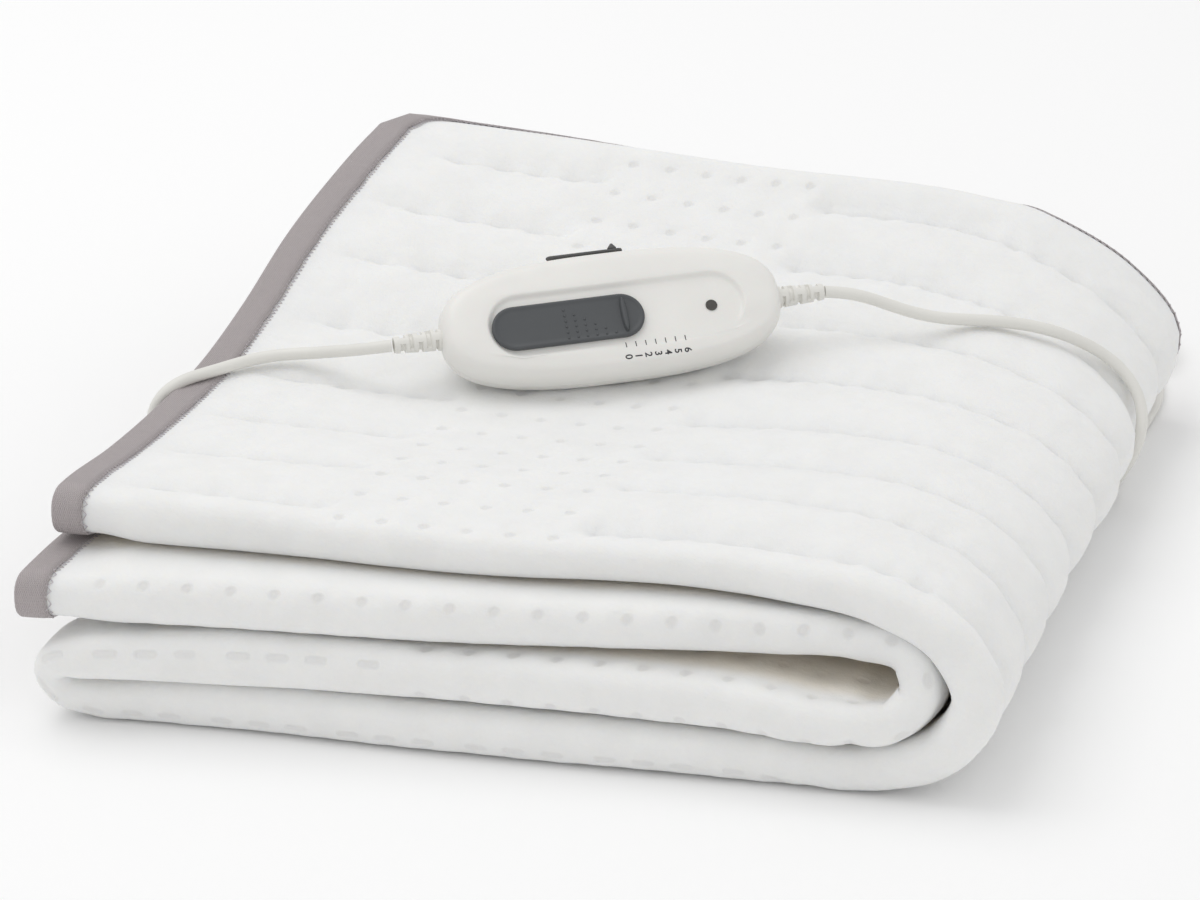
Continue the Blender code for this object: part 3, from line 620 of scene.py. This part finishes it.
def makeSmallParts():
    spot = control["lens"]
    rings = [oval(2 * spot["radius"] * s, 2 * spot["radius"] * s, z, spot["centre"], 2, 40)
             for s, z in ((1, 10.7), (1, 10.95), (0.86, 11.0), (0.72, 10.85), (0.5, 10.95), (0.25, 11.05))]
    lens = loft("statusLens", rings, controlPlace)
    finish(lens, "lens", "blanket", "lens", "status_lens", angle=40)

    track, knob = control["track"], control["knob"]
    upright = (controlPlace @ Matrix.Translation(Vector((0, track["y"], track["z"])) * mm)
               @ Matrix.Rotation(-math.pi / 2, 4, "X"))
    rings = [stadium(track["length"] - cut, track["height"] - cut, z, (track["x"], 0), 56)
             for cut, z in ((0.3, -0.5), (0, -0.2), (0, 0.25), (0.35, 0.5), (1.5, 0.5), (1.8, 0.25))]
    strip = loft("timerStrip", rings, upright)
    finish(strip, "strip", "blanket", "dark_plastic", "timer_track", angle=40)
    rings = [oval(knob["length"] * s, knob["height"] * t, z, (knob["x"], 0), 3, 32)
             for s, t, z in ((0.9, 0.9, 0.8), (1.0, 1.0, 1.0), (0.95, 1.0, 1.5), (0.6, 0.94, 2.3), (0.34, 0.88, 3.0),
                             (0.18, 0.75, 3.2))]
    button = loft("timerKnob", rings, upright)
    finish(button, "strip", "timer_knob", "dark_plastic", "timer_knob", angle=40)

    # ribbed sleeves: slots that change sides from one rib to the next
    relief = control["relief"]
    for side, name in ((-1, "left"), (1, "right")):
        rings = []
        for share in (k / 42 for k in range(43)):
            x = relief["start"] + (relief["end"] - relief["start"]) * share
            radius = relief["radius"] - relief["taper"] * share - relief["lip"] * max(0, share - 0.93) / 0.07
            rib = share * relief["ribs"]
            inSlot = 0.30 < rib % 1.0 < 0.72 and 0.08 < share < 0.96
            ring = []
            for angle in (2 * math.pi * n / 48 for n in range(48)):
                facing = abs(math.sin(angle)) if int(rib) % 2 else abs(math.cos(angle))
                r = radius - (relief["groove"] if inSlot and facing > 0.42 else 0.0)
                ring.append((side * x, r * math.cos(angle), side * r * math.sin(angle)))
            rings.append(ring)
        sleeve = loft("reliefSleeve_" + name, rings, controlPlace)
        finish(sleeve, "cordSkin", "blanket", "ivory_cord", "relief_" + name, angle=30)


upperShell = makeShells()
makeSlider()
makePrint(upperShell)
makeSmallParts()
print("hand control modelled")


# plug, pins, coil tie and the connector at the sheet's edge
strap = dict(angle=62.0, inside=2.62, outside=3.3, halfWidth=4.5)
edgeBox = dict(centre=(-183.6, 47.5, 54.0), lean=0.13, height=7.5, width=14.0)


def makePlug():
    at = (Matrix.Translation(Vector(plug["centre"]) * mm) @ Matrix.Rotation(math.radians(plug["turn"]), 4, "Z")
          @ Matrix.Rotation(math.pi / 2, 4, "Y"))
    half = plug["length"] / 2
    # share of the half length, of the height and of the width
    table = np.array([(-1, 0.5, 0.32), (-0.9, 0.62, 0.37), (-0.7, 0.85, 0.48), (-0.3, 0.97, 0.72), (0, 1.0, 0.88),
                      (0.25, 1.0, 0.99), (0.5, 1.0, 1.0), (0.93, 1.0, 1.0), (0.985, 0.97, 0.98), (1, 0.9, 0.94)])
    rings = []
    for z in np.concatenate((np.linspace(-half, half * 0.9, 40), [half * 0.95, half * 0.985, half])):
        s, t = curveThrough(table[:, 0] * half, table[:, 1:], [z])[0]
        grip = 0.0 if not -0.75 < z / half < -0.05 else 0.35 * (math.sin(z * 2 * math.pi / 2.6) > 0.2)
        rings.append(oval(plug["height"] * s - grip, plug["width"] * t - grip, z, power=3, count=64))
    body = loft("plugBody", rings, at)
    finish(body, "cordSkin", "blanket", "ivory_cord", "plug_body", angle=32)
    made = [body]
    for side, name in ((-1, "left"), (1, "right")):
        rings = [oval(2 * r, 2 * r, half + z, (0, side * plug["pinSpacing"] / 2), 2, 32)
                 for r, z in ((2.0, 0.3), (2.0, 10.0), (1.85, 10.1), (1.85, 10.5), (2.0, 10.6), (2.0, 17.6),
                              (1.7, 18.5), (1.1, 19.0))]
        pin = loft("plugPin_" + name, rings, at)
        finish(pin, "pins", "blanket", "pin_metal", "plug_pin_" + name, angle=40)
        made.append(pin)
    return made


def makeTie():
    # strap round the bundle of turns
    angle = math.radians(strap["angle"])
    middle = Vector((coil["centre"][0] + coil["radius"] * math.cos(angle),
                     coil["centre"][1] + coil["radius"] * math.sin(angle), coil["lift"])) * mm
    at = Matrix.Translation(middle) @ Matrix.Rotation(angle, 4, "Z") @ Matrix.Rotation(math.pi / 2, 4, "X")
    inner, outer, wide = coil["bundle"] + strap["inside"], coil["bundle"] + strap["outside"], strap["halfWidth"]
    turns = [2 * math.pi * n / 48 for n in range(48)]
    rings = [[(r * math.cos(a), max(r * math.sin(a), 0.2 - coil["lift"]), z) for a in turns]
             for r, z in ((inner, -wide), (outer, -wide), (outer + 0.05, -wide * 0.5), (outer + 0.05, wide * 0.5),
                          (outer, wide), (inner, wide), (inner, -wide))]
    band = loft("coilTie", rings, at, False, False)
    pick(band)
    bpy.ops.object.mode_set(mode="EDIT")
    bpy.ops.mesh.select_all(action="SELECT")
    bpy.ops.mesh.remove_doubles(threshold=0.000001)
    bpy.ops.object.mode_set(mode="OBJECT")
    turnOutwards()
    return finish(band, "strap", "blanket", "ivory_cord", angle=40)


def makeConnector():
    lying = (Matrix.Translation(Vector(edgeBox["centre"]) * mm) @ Matrix.Rotation(-math.atan(edgeBox["lean"]), 4, "Z")
             @ Matrix.Rotation(math.pi / 2, 4, "X"))
    rings = [oval(edgeBox["height"] + grow, edgeBox["width"] + grow, y, power=4, count=48)
             for y, grow in ((-13, -3.0), (-12.6, -1.4), (-11.6, -0.4), (-10.0, 0.0), (-3.0, 0.0), (-2.8, -0.5),
                             (-2.2, -0.5), (-2.0, 0.0), (10.0, 0.0), (11.6, -0.4), (12.6, -1.4), (13, -3.0))]
    box = loft("edgeConnector", rings, lying)
    finish(box, "shell", "blanket", "ivory_plastic", "blanket_connector", angle=35)


plugPieces = makePlug()
tie = makeTie()
makeConnector()
print("plug, tie and connector modelled")

# the folded sheet
sheet = dict(length=1500.0, width=800.0, layer=22.0, slit=1.2, corner=30.0, tongue=4.0, bound=12.0, puff=20.0,
             channel=47.5, lean=0.13, square=0.8, swell=2.5, middleX=212.0, middleY=215.0, nominalTop=88.2)
stations = (
    # name, x and z at the front, how far back the front lies, x and z at the back, thickness
    ("A end", 5, 77.3, 42, -10, 77.3, 1.0), ("A left", 62, 78, 44, 51, 78, 0.93),
    ("A mid", 160, 78.6, 46, 148, 78.6, 0.88), ("A right", 300, 80.3, 46, 270, 78.8, 0.86),
    ("outer top", 345, 77.5, 38, 308, 74, 0.98),
    ("outer shoulder", 374, 65, 31, 343, 61, 0.97), ("outer side", 386, 44, 27, 361, 42, 0.97),
    ("outer heel", 375, 22, 26, 350, 22, 0.95), ("outer bottom", 345, 10.2, 26, 322, 10.4, 0.91),
    ("D right", 300, 10.6, 24, 284, 10.6, 0.96), ("D mid", 180, 10.9, 20, 180, 10.9, 0.99),
    ("D left", 50, 10.2, 18, 50, 10.2, 0.93), ("left bottom", 29, 9.9, 16, 29, 9.9, 0.84),
    ("left heel", 16.8, 13.2, 14, 16.8, 13.2, 0.76), ("left side", 13, 20.5, 11, 13, 20.5, 0.72),
    ("left shoulder", 16.8, 27.8, 8, 16.8, 27.8, 0.76), ("left top", 29, 30.9, 7, 29, 30.9, 0.88),
    ("C left", 54, 32.0, 12, 54, 32.0, 1.03), ("C mid", 180, 34.1, 21, 180, 34.1, 1.06),
    ("C right", 290, 33.4, 23, 270, 33.0, 1.03), ("inner bottom", 334, 31, 21, 304, 31, 0.86),
    ("inner heel", 356, 34.6, 23, 330, 33.6, 0.82), ("inner side", 362.5, 45.5, 28, 338.4, 42, 0.8),
    ("inner shoulder", 357, 55.2, 35, 330, 50.4, 0.8), ("inner top", 334, 59.5, 40, 304, 54.5, 0.8),
    ("B right", 300, 60.2, 38, 270, 56.5, 0.87), ("B mid", 180, 57.2, 27, 180, 57.2, 1.0),
    ("B left", 60, 55.4, 17, 60, 55.4, 1.0), ("B end", 3, 54, 11, 0, 54, 0.96))
heightAt = (-10, 60, 185, 290, 400)
heights = ((0, 89, 89, 89, 89, 89), (50, 90, 88, 85, 86, 88), (100, 83, 84, 84, 86, 86), (150, 80, 78, 76, 80, 82),
           (200, 80, 76, 70.5, 76, 80), (250, 88, 82, 73, 76.5, 80), (300, 101, 94, 80, 79, 82),
           (350, 109, 100, 88, 84, 83), (400, 114, 108, 98, 95, 89), (424, 114.5, 111, 102.5, 97.5, 89.5),
           (447, 106, 94, 79, 69, 59))
pinch = ((-40, 2.0), (200, 2.2), (285, 3.4), (304, 5.6), (324, 10.6), (344, 9.6), (370, 9.0), (400, 9.8), (411, 11.6),
         (430, 28.0), (450, 44.0))
ruck = dict(x=-19.9, y=25.9, rise=23.0, fall=32.0, height=12.0, flat=38.0, ends=36.0)
seamStarts = (("A end", 20), ("A right", 20), ("outer side", 18), ("D right", 2.5), ("D left", 2.5), ("C left", 1.8),
              ("C mid", 2.6), ("inner bottom", 2.6), ("B right", 5.2), ("B mid", 3.2), ("B end", 2))
dotsOnA, dotsFromC = (105.0, 207.0), 95.0

pathTable = np.array([row[1:7] for row in stations], float)
frontLine, backLine = pathTable[:, 0:2], pathTable[:, 3:5]
knots = lengthAlong(frontLine)
fineKnots = np.linspace(0, knots[-1], 3001)
flatLength = lengthAlong(curveThrough(knots, frontLine, fineKnots))
flatLength *= sheet["length"] / flatLength[-1]
stationAt = dict(zip([row[0] for row in stations], np.interp(knots, fineKnots, flatLength)))


def knotAt(u):
    rate = fineKnots[-1] / sheet["length"]
    return np.interp(u, flatLength, fineKnots) + np.minimum(u, 0) * rate + np.maximum(u - sheet["length"], 0) * rate


def plyThickness(u):
    return curveThrough(knots, pathTable[:, 5], knotAt(u))[:, 0] * sheet["layer"] / 2 - sheet["slit"] / 2


def pileHeight(x, depth):
    rows = np.array(heights, float)
    across = curveThrough(heightAt, np.eye(len(heightAt)), np.clip(x, heightAt[0], heightAt[-1]))
    back = curveThrough(rows[:, 0], np.eye(len(rows)), np.clip(depth, rows[0, 0], rows[-1, 0]))
    return np.sum((back @ rows[:, 1:]) * across, axis=1) / sheet["nominalTop"]


def drawnIn(x, depth):
    # the right-hand fold leans in towards the back
    table = np.array(pinch, float)
    return curveThrough(table[:, 0], table[:, 1], depth)[:, 0] * easeIn((x - 235) / 120)


def ruckLift(x, y):
    # the top ply stands up behind and under the hand control
    turn = math.radians(control["yaw"])
    dx, dy = x - ruck["x"], y - ruck["y"]
    along = dx * math.cos(turn) + dy * math.sin(turn)
    back = dy * math.cos(turn) - dx * math.sin(turn)
    rise = easeIn(back / ruck["rise"]) * (1 - easeIn((back - ruck["rise"] - 2) / ruck["fall"]))
    return ruck["height"] * rise * (1 - easeIn((np.abs(along) - ruck["flat"]) / ruck["ends"]))


def onPile(u, v, w):
    # place on the folded pile for u along the flat sheet, v across it and w out of the ply's middle
    u, v, w = (np.asarray(a, float).ravel() for a in np.broadcast_arrays(u, v, w))
    q = knotAt(u)
    radius = plyThickness(u) / 2 + sheet["slit"] / 2
    turn = np.clip(v / radius, -math.pi / 2, math.pi / 2)
    ahead, aside = np.abs(np.cos(turn)) ** sheet["square"], np.abs(np.sin(turn)) ** sheet["square"]
    depth = radius - (radius + w) * ahead + np.maximum(np.abs(v) - radius * math.pi / 2, 0)
    rise = (radius + w) * np.sign(turn) * aside
    share = 1 - (1 - np.clip(depth / (sheet["width"] / 2), 0, 1)[:, None]) ** 2
    middle = (1 - share) * curveThrough(knots, frontLine, q) + share * curveThrough(knots, backLine, q)
    along = (1 - share) * curveThrough(knots, frontLine, q, True) + share * curveThrough(knots, backLine, q, True)
    along /= np.linalg.norm(along, axis=1)[:, None]
    # the inner fold swells onto the outer one a little way in
    swell = sheet["swell"] * easeIn((depth - 2) / 13) * easeIn((u - stationAt["inner bottom"]) / 12)
    rise = rise - swell * (1 - easeIn((u - stationAt["inner shoulder"]) / 14))
    x = middle[:, 0] - along[:, 1] * rise
    z = middle[:, 1] + along[:, 0] * rise
    depth = depth + curveThrough(knots, pathTable[:, 2], q)[:, 0]
    z = np.maximum(z, 0) * pileHeight(x, depth)
    x = x - drawnIn(x, depth)
    x, y = x - sheet["middleX"] + sheet["lean"] * depth, depth - sheet["middleY"]
    onTop = (u < stationAt["A right"]) & (v > 0)
    return np.stack((x, y, z + np.where(onTop, ruckLift(x, y), 0)), axis=1) * mm


def seamStart(u):
    return np.interp(u, [stationAt[name] for name, _ in seamStarts], [v for _, v in seamStarts])


def keptRound(u):
    return 0.9 * easeIn((u - stationAt["D right"] + 40) / 40)


def patternAcross(u, v):
    # distance from the first seam; from D to B the pattern keeps its size round the outside of the fold
    across = v - seamStart(u)
    return across + keptRound(u) * 8.5 * np.tanh(across / 8.5)


def edgeDistance(u, v):
    along = np.minimum(u, sheet["length"] - u)
    across = sheet["width"] / 2 - np.abs(v)
    corner = sheet["corner"] - np.hypot(np.maximum(sheet["corner"] - along, 0), np.maximum(sheet["corner"] - across, 0))
    return np.where((along < sheet["corner"]) & (across < sheet["corner"]), corner, np.minimum(along, across))


quilting = dict(valley=3.4, flank=0.75, crease=1.6, creaseWide=3.4, gather=1.4, gatherWide=10.0, dot=1.3, dotWide=3.0,
                dish=0.45, dishWide=9.0, patch=0.9, fade=6.0, foldU=772.0, shiftBefore=2.7, shiftAfter=35.5)


def foldStretch(u, v):
    # how much wider the outer face is than the flat sheet, over the front fold
    ply = plyThickness(u)
    radius = ply / 2 + sheet["slit"] / 2
    over = 1 - easeIn((np.abs(v) - radius * 1.2) / (radius * 0.9))
    return (1 + (ply / 2) / radius * over) / (1 + keptRound(u) * over)


def dotShare(u):
    # 1 where round welds take the place of the seams
    fade = quilting["fade"]
    onA = easeIn((u - dotsOnA[0]) / fade + 0.5) * (1 - easeIn((u - dotsOnA[1]) / fade + 0.5))
    return np.maximum(onA, easeIn((u - stationAt["C left"] - dotsFromC) / fade + 0.5))


def dashShift(u):
    return np.where(u < quilting["foldU"], quilting["shiftBefore"], quilting["shiftAfter"])


def patternShare(u, v):
    # nothing pressed on the strip of B that shows under A
    return 1 - easeIn((-v - 9) / 5) * (v > -60) * (u > stationAt["inner side"])


def sheetFaces(u, v):
    # outer and inner face from the ply's middle, with the quilting drawn into the outer one
    full = plyThickness(u) / 2
    inside = np.maximum(np.minimum(u, sheet["length"] - u), sheet["width"] / 2 - np.abs(v))
    atCorner = easeIn((sheet["corner"] + 30 - inside) / 15)
    rim = edgeDistance(u, v)
    puff = easeIn((rim - sheet["bound"] - 4 - 5 * atCorner) / sheet["puff"])
    half = sheet["tongue"] / 2 + (full - sheet["tongue"] / 2) * puff
    middle = (full - sheet["tongue"] / 2) * 0.4 * (1 - puff)
    across = patternAcross(u, v)
    dots = dotShare(u)
    stretch = foldStretch(u, v)

    def fromLine(value, pitch):
        return np.abs((value / pitch + 0.5) % 1.0 - 0.5) * pitch

    def hollow(reach, wide):
        return np.exp(-(reach / wide) ** 2)

    aside = fromLine(across, sheet["channel"])
    phase = aside / sheet["channel"] * 2                              # 0 on a seam, 1 midway
    valley = quilting["valley"] * (1 - np.sin(np.clip(phase, 0, 1) * math.pi / 2) ** quilting["flank"])
    step, group = cloth["dashStep"], (u - dashShift(u)) % cloth["dashGroup"]
    turn = 2 * math.pi * (group % step - cloth["dashCentre"]) / step
    dash = np.where(group < cloth["dashReach"], 0.5 + 0.5 * np.cos(turn), 0.0)
    crease = quilting["crease"] * hollow(aside * stretch, quilting["creaseWide"]) * (0.35 + 0.65 * dash)
    turn = 2 * math.pi * (u + 3 * softNoise(u, v, 40, 3)) / step + 1.6
    gather = (quilting["gather"] * hollow(aside, quilting["gatherWide"]) * (0.5 + 0.5 * np.cos(turn))
              * (0.6 + 0.4 * softNoise(u, v, 60, 4)))
    lines = valley + crease + gather
    r = np.hypot(fromLine(u - cloth["dotStart"], cloth["dotPitch"]),
                 fromLine(across - cloth["dotRow"] / 2, cloth["dotRow"]) * stretch)
    pits = quilting["dot"] * hollow(r, quilting["dotWide"]) + quilting["dish"] * hollow(r, quilting["dishWide"])
    overFold = easeIn((np.abs(v) - 5) / 12)
    lower = (v < 0) & (u > stationAt["C left"]) & (u < stationAt["inner bottom"])
    drawn = (lines * (1 - dots) * (0.3 + 0.7 * overFold)
             + pits * dots * patternShare(u, v) * (1 - 0.55 * lower)) * puff
    # only a face that nothing lies on may swell
    free = (u < stationAt["D right"]) & (v > -12)
    uneven = quilting["patch"] * (0.6 * softNoise(u, v, 70, 1) + 0.4 * softNoise(u, v, 28, 2)) * puff
    uneven = np.where(free, uneven, np.minimum(uneven, 0) - 0.1 * puff)
    return middle + half - drawn + uneven, middle - half, puff


def gridRows():
    step = cloth["dotPitch"] / 4
    rows = [cloth["dotStart"] + step * k for k in range(-30, 400)]
    rows = [u for u in rows if 3 < u < sheet["length"] - 3]
    tight = ((stationAt["left bottom"] - 12, stationAt["left top"] + 12),
             (stationAt["inner bottom"] - 4, stationAt["inner top"] + 4))
    more = [u + step / 2 for u in rows if any(a < u < b for a, b in tight)]
    return np.array([0.0] + sorted(rows + more) + [sheet["length"]])


def gridColumns(u):
    # close over the front fold, then in step with the seams
    start, usual, step, foldEdge, edge = float(seamStart(u)), 11.0, sheet["channel"] / 12, 14.4, sheet["width"] / 2

    def withSeams(t):
        room = easeIn((abs(t) - foldEdge) / 20) * easeIn((edge - 2 - abs(t)) / 24)
        return t + (start - usual) * float(room)

    ahead = [usual + step * k for k in range(2, 200) if foldEdge + 2 < usual + step * k < edge - 1.5]
    behind = [usual - step * k for k in range(2, 200) if -edge + 1.5 < usual - step * k < -foldEdge - 2]
    inner = [foldEdge * (k - 10) / 10 for k in range(21)]
    out = np.array([-edge] + sorted(withSeams(t) for t in behind) + inner + [withSeams(t) for t in ahead] + [edge])
    along = min(u, sheet["length"] - u)
    if along < sheet["corner"]:                                   # the outer columns follow the round corner
        reach = edge - sheet["corner"] + math.sqrt(sheet["corner"] ** 2 - (sheet["corner"] - along) ** 2)
        inside = edge - 60.0
        outer = np.abs(out) > inside
        out = np.where(outer, np.sign(out) * (inside + (np.abs(out) - inside) * (reach - inside) / 60.0), out)
    return out


def thinned(count, every=3):
    picks = list(range(0, count, every))
    return picks if picks[-1] == count - 1 else picks + [count - 1]


def makeSheet():
    rows = gridRows()
    grid = np.array([gridColumns(u) for u in rows])
    count, width = grid.shape
    u, v = np.repeat(rows, width), grid.ravel()
    outer, inner, puff = sheetFaces(u, v)
    top = onPile(u, v, outer)
    keepRows, keepColumns = thinned(count), thinned(width)
    picked = np.array([i * width + j for i in keepRows for j in keepColumns])
    under = onPile(u[picked], v[picked], inner[picked])
    base, wide, tall = count * width, len(keepColumns), len(keepRows)
    i, j = np.meshgrid(np.arange(count - 1), np.arange(width - 1), indexing="ij")
    a = (i * width + j).ravel()
    polygons = np.stack((a, a + 1, a + width + 1, a + width), axis=1).tolist()
    i, j = np.meshgrid(np.arange(tall - 1), np.arange(wide - 1), indexing="ij")
    a = (base + i * wide + j).ravel()
    polygons += np.stack((a, a + wide, a + wide + 1, a + 1), axis=1).tolist()
    # the rim joins the fine face to the coarse one
    for i, here in ((0, 0), (tall - 1, count - 1)):
        for k in range(wide - 1):
            fine = [here * width + m for m in range(keepColumns[k], keepColumns[k + 1] + 1)]
            low = [base + i * wide + k, base + i * wide + k + 1]
            polygons.append(fine[::-1] + low if i == 0 else fine + low[::-1])
    for j, here in ((0, 0), (wide - 1, width - 1)):
        for k in range(tall - 1):
            fine = [m * width + here for m in range(keepRows[k], keepRows[k + 1] + 1)]
            low = [base + k * wide + j, base + (k + 1) * wide + j]
            polygons.append(fine + low[::-1] if j == 0 else fine[::-1] + low)
    obj = meshObject("quiltedSheet", np.concatenate((top, under)), polygons)

    allU, allV, allPuff = (np.concatenate((a, a[picked])) for a in (u, v, puff))
    placeOnMap(obj.data, "flatPlace", np.column_stack((allU, patternAcross(allU, allV))) * mm)
    outside = (allU < stationAt["C left"]) & (allV > 0)
    # painted shade: how far into each crevice between the layers the warm tint reaches
    creviceShadeStart = np.interp(allU, [stationAt[name] for name in ("inner top", "B right", "B mid", "B left", "B end")],
                          [9, 11, 19, 26, 30])
    creviceShadeShare = easeIn((np.abs(allV) - creviceShadeStart) / 11) * ~outside
    front = 1 - 0.75 * easeIn((np.abs(allV) - 12) / 10)
    marks = dict(dotZone=dotShare(allU), front=front, away=allPuff ** 2 * patternShare(allU, allV), warmCreviceShade=0.8 * creviceShadeShare,
                 stretch=foldStretch(allU, allV), dashShift=dashShift(allU))
    for name, values in marks.items():
        obj.data.attributes.new(name, "FLOAT", "POINT").data.foreach_set("value", values.astype(np.float32))
    pick(obj)
    turnOutwards()
    bpy.ops.object.shade_smooth()
    finish(obj, "quilt", "blanket", "quilt", "blanket")
    print("quilted sheet", count, "by", width, "triangles", sum(len(p) - 2 for p in polygons))
    rim = ([j for j in range(width)] + [k * width + width - 1 for k in range(1, count)]
           + [(count - 1) * width + j for j in range(width - 2, -1, -1)] + [k * width for k in range(count - 2, 0, -1)])
    return obj, u[rim], v[rim]


binding = dict(thick=0.8, gap=0.4, ragged=0.45, stitch=2.6, thread=0.2, swing=1.0)


def rimFrame(u, v):
    # inward direction on the flat sheet, for each place of the rim
    along = np.minimum(u, sheet["length"] - u)
    roundU = np.where(u < sheet["length"] / 2, sheet["corner"], sheet["length"] - sheet["corner"])
    roundV = np.sign(v) * (sheet["width"] / 2 - sheet["corner"])
    atCorner = (along < sheet["corner"]) & (np.abs(v) > sheet["width"] / 2 - sheet["corner"] - 0.01)
    inU = np.where(atCorner, roundU - u, np.where(along < 0.01, np.sign(sheet["length"] / 2 - u), 0))
    inV = np.where(atCorner, roundV - v, np.where(along < 0.01, 0, -np.sign(v)))
    size = np.hypot(inU, inV)
    return inU / size, inV / size


def makeBinding(u, v):
    inU, inV = rimFrame(u, v)
    length = np.concatenate(([0], np.cumsum(np.hypot(np.diff(u), np.diff(v)))))
    gap, thick, wide = binding["gap"], binding["thick"], sheet["bound"]
    ragged = wide + binding["ragged"] * (softNoise(length, 0, 3.1, 11) + 0.5 * softNoise(length, 0, 11, 12))
    # distance inwards (None for the ragged edge), share between the faces, height over the face
    full = gap + thick
    section = ((None, 1, gap + thick * 0.75), (wide * 0.72, 1, gap + thick * 1.05), (wide * 0.38, 1, full),
               (2.0, 1, gap + thick * 0.9), (0.0, 1, gap + thick * 0.75), (-0.9, 1, gap * 0.9), (-full, 0.62, 0.0),
               (-full, 0.38, 0.0), (-0.9, 0, gap * 0.9), (0.0, 0, gap + thick * 0.75), (wide * 0.5, 0, full),
               (wide, 0, full), (wide, 0, gap), (0.5, 0, gap), (-gap, 0.3, 0.0), (-gap, 0.7, 0.0), (0.5, 1, gap),
               (None, 1, gap))
    loops, acrossRibbon = [], []
    for k, (inwards, side, beyond) in enumerate(section):
        reach = ragged if inwards is None else np.full(len(u), float(inwards))
        at = np.clip(reach, 0, None)
        outer, inner, _ = sheetFaces(np.clip(u + inU * at, 0, sheet["length"]), v + inV * at)
        w = inner + (outer - inner) * side + beyond * (1 if side > 0.5 else -1)
        loops.append(onPile(u + inU * reach, v + inV * reach, w))
        acrossRibbon.append(reach if side > 0.5 else -reach)
    total, rows = len(u), len(section)
    k, a = np.meshgrid(np.arange(rows), np.arange(total), indexing="ij")
    m, b = (k + 1) % rows, (a + 1) % total
    polygons = np.stack((k * total + a, k * total + b, m * total + b, m * total + a), axis=-1).reshape(-1, 4)
    obj = meshObject("edgeRibbon", np.concatenate(loops), polygons.tolist())
    placeOnMap(obj.data, "ribbonPlace", np.column_stack((np.tile(length, rows), np.concatenate(acrossRibbon))) * mm)
    pick(obj)
    turnOutwards()
    bpy.ops.object.shade_smooth()
    finish(obj, "ribbon", "blanket", "binding", "binding")
    return obj, length


def makeStitches(u, v, length):
    # one thread that zigzags over the ribbon's inner edge on the outer face
    inU, inV = rimFrame(u, v)
    whole = length[-1] - 4.0
    zigs = int(whole / binding["stitch"])
    turns = np.linspace(0, whole, zigs * 2 + 1)
    shares = np.array([0.0, 0.25, 0.75])
    s = (turns[:-1, None] + np.diff(turns)[:, None] * shares).ravel()
    zig = np.where(np.arange(len(turns) - 1) % 2 == 0, 1.0, -1.0)
    side = (zig[:, None] * (2 * shares - 1)).ravel()
    inwards = sheet["bound"] + 0.5 + binding["swing"] * side + 0.25 * softNoise(s, 0, 5, 21)
    su, sv = np.interp(s, length, u), np.interp(s, length, v)
    iu, iv = np.interp(s, length, inU), np.interp(s, length, inV)
    size = np.hypot(iu, iv)
    su, sv = su + iu / size * inwards, sv + iv / size * inwards
    outer, _, _ = sheetFaces(np.clip(su, 0, sheet["length"]), sv)
    lift = 0.25 + (binding["gap"] + binding["thick"]) * easeIn((sheet["bound"] + 0.6 - inwards) / 1.6)
    line = onPile(su, sv, outer + lift) / mm
    ahead = np.gradient(line, axis=0)
    ahead /= np.linalg.norm(ahead, axis=1)[:, None]
    above = onPile(su, sv, outer + lift + 1.0) / mm - line
    above /= np.linalg.norm(above, axis=1)[:, None]
    beside = np.cross(ahead, above)
    r = binding["thread"]
    ring = np.stack([line + (above * math.sin(a) + beside * math.cos(a)) * r for a in
                     (0, math.pi / 2, math.pi, 1.5 * math.pi)], axis=1)
    n = len(line)
    i, k = np.meshgrid(np.arange(n - 1), np.arange(4), indexing="ij")
    j = (k + 1) % 4
    polygons = np.stack((i * 4 + k, i * 4 + j, (i + 1) * 4 + j, (i + 1) * 4 + k), axis=-1).reshape(-1, 4).tolist()
    polygons += [[3, 2, 1, 0], [n * 4 - 4, n * 4 - 3, n * 4 - 2, n * 4 - 1]]
    obj = meshObject("overlockStitch", ring.reshape(-1, 3) * mm, polygons)
    pick(obj)
    turnOutwards()
    bpy.ops.object.shade_smooth()
    return finish(obj, "thread", "blanket", "binding")


quiltedSheet, rimU, rimV = makeSheet()
edgeRibbon, rimLength = makeBinding(rimU, rimV)
stitches = makeStitches(rimU, rimV, rimLength)
print("sheet, binding and stitching modelled")

# floor and light
studio = dict(floor=(0.97, 0.97, 0.97), floorSize=14.0, sky=0.76,
              lights=(("keyLight", (-0.75, 0.15, 2.1), 1.8, 15.0), ("fillLight", (1.7, -1.2, 1.2), 1.6, 1.2)))


def makeStudio():
    clearSelection()
    bpy.ops.mesh.primitive_plane_add(size=studio["floorSize"], location=(0, 0, -0.0002))
    floor = bpy.context.object
    floor.name = "paleFloor"
    floor.data.materials.append(newMaterial("paleFloorPaint", studio["floor"], 0.9)[0])
    world = bpy.data.worlds.new("softRoom")
    bpy.context.scene.world = world
    world.use_nodes = True
    back = world.node_tree.nodes["Background"]
    back.inputs["Color"].default_value = (1, 1, 1, 1)
    back.inputs["Strength"].default_value = studio["sky"]
    for name, place, size, power in studio["lights"]:
        clearSelection()
        aimed = (Vector((0, 0, 0.05)) - Vector(place)).to_track_quat("-Z", "Y").to_euler()
        bpy.ops.object.light_add(type="AREA", location=place, rotation=aimed)
        lamp = bpy.context.object
        lamp.name = name
        lamp.data.size, lamp.data.energy = size, power
    bpy.context.scene.view_settings.view_transform = "Standard"


makeStudio()
print("floor and lights set")
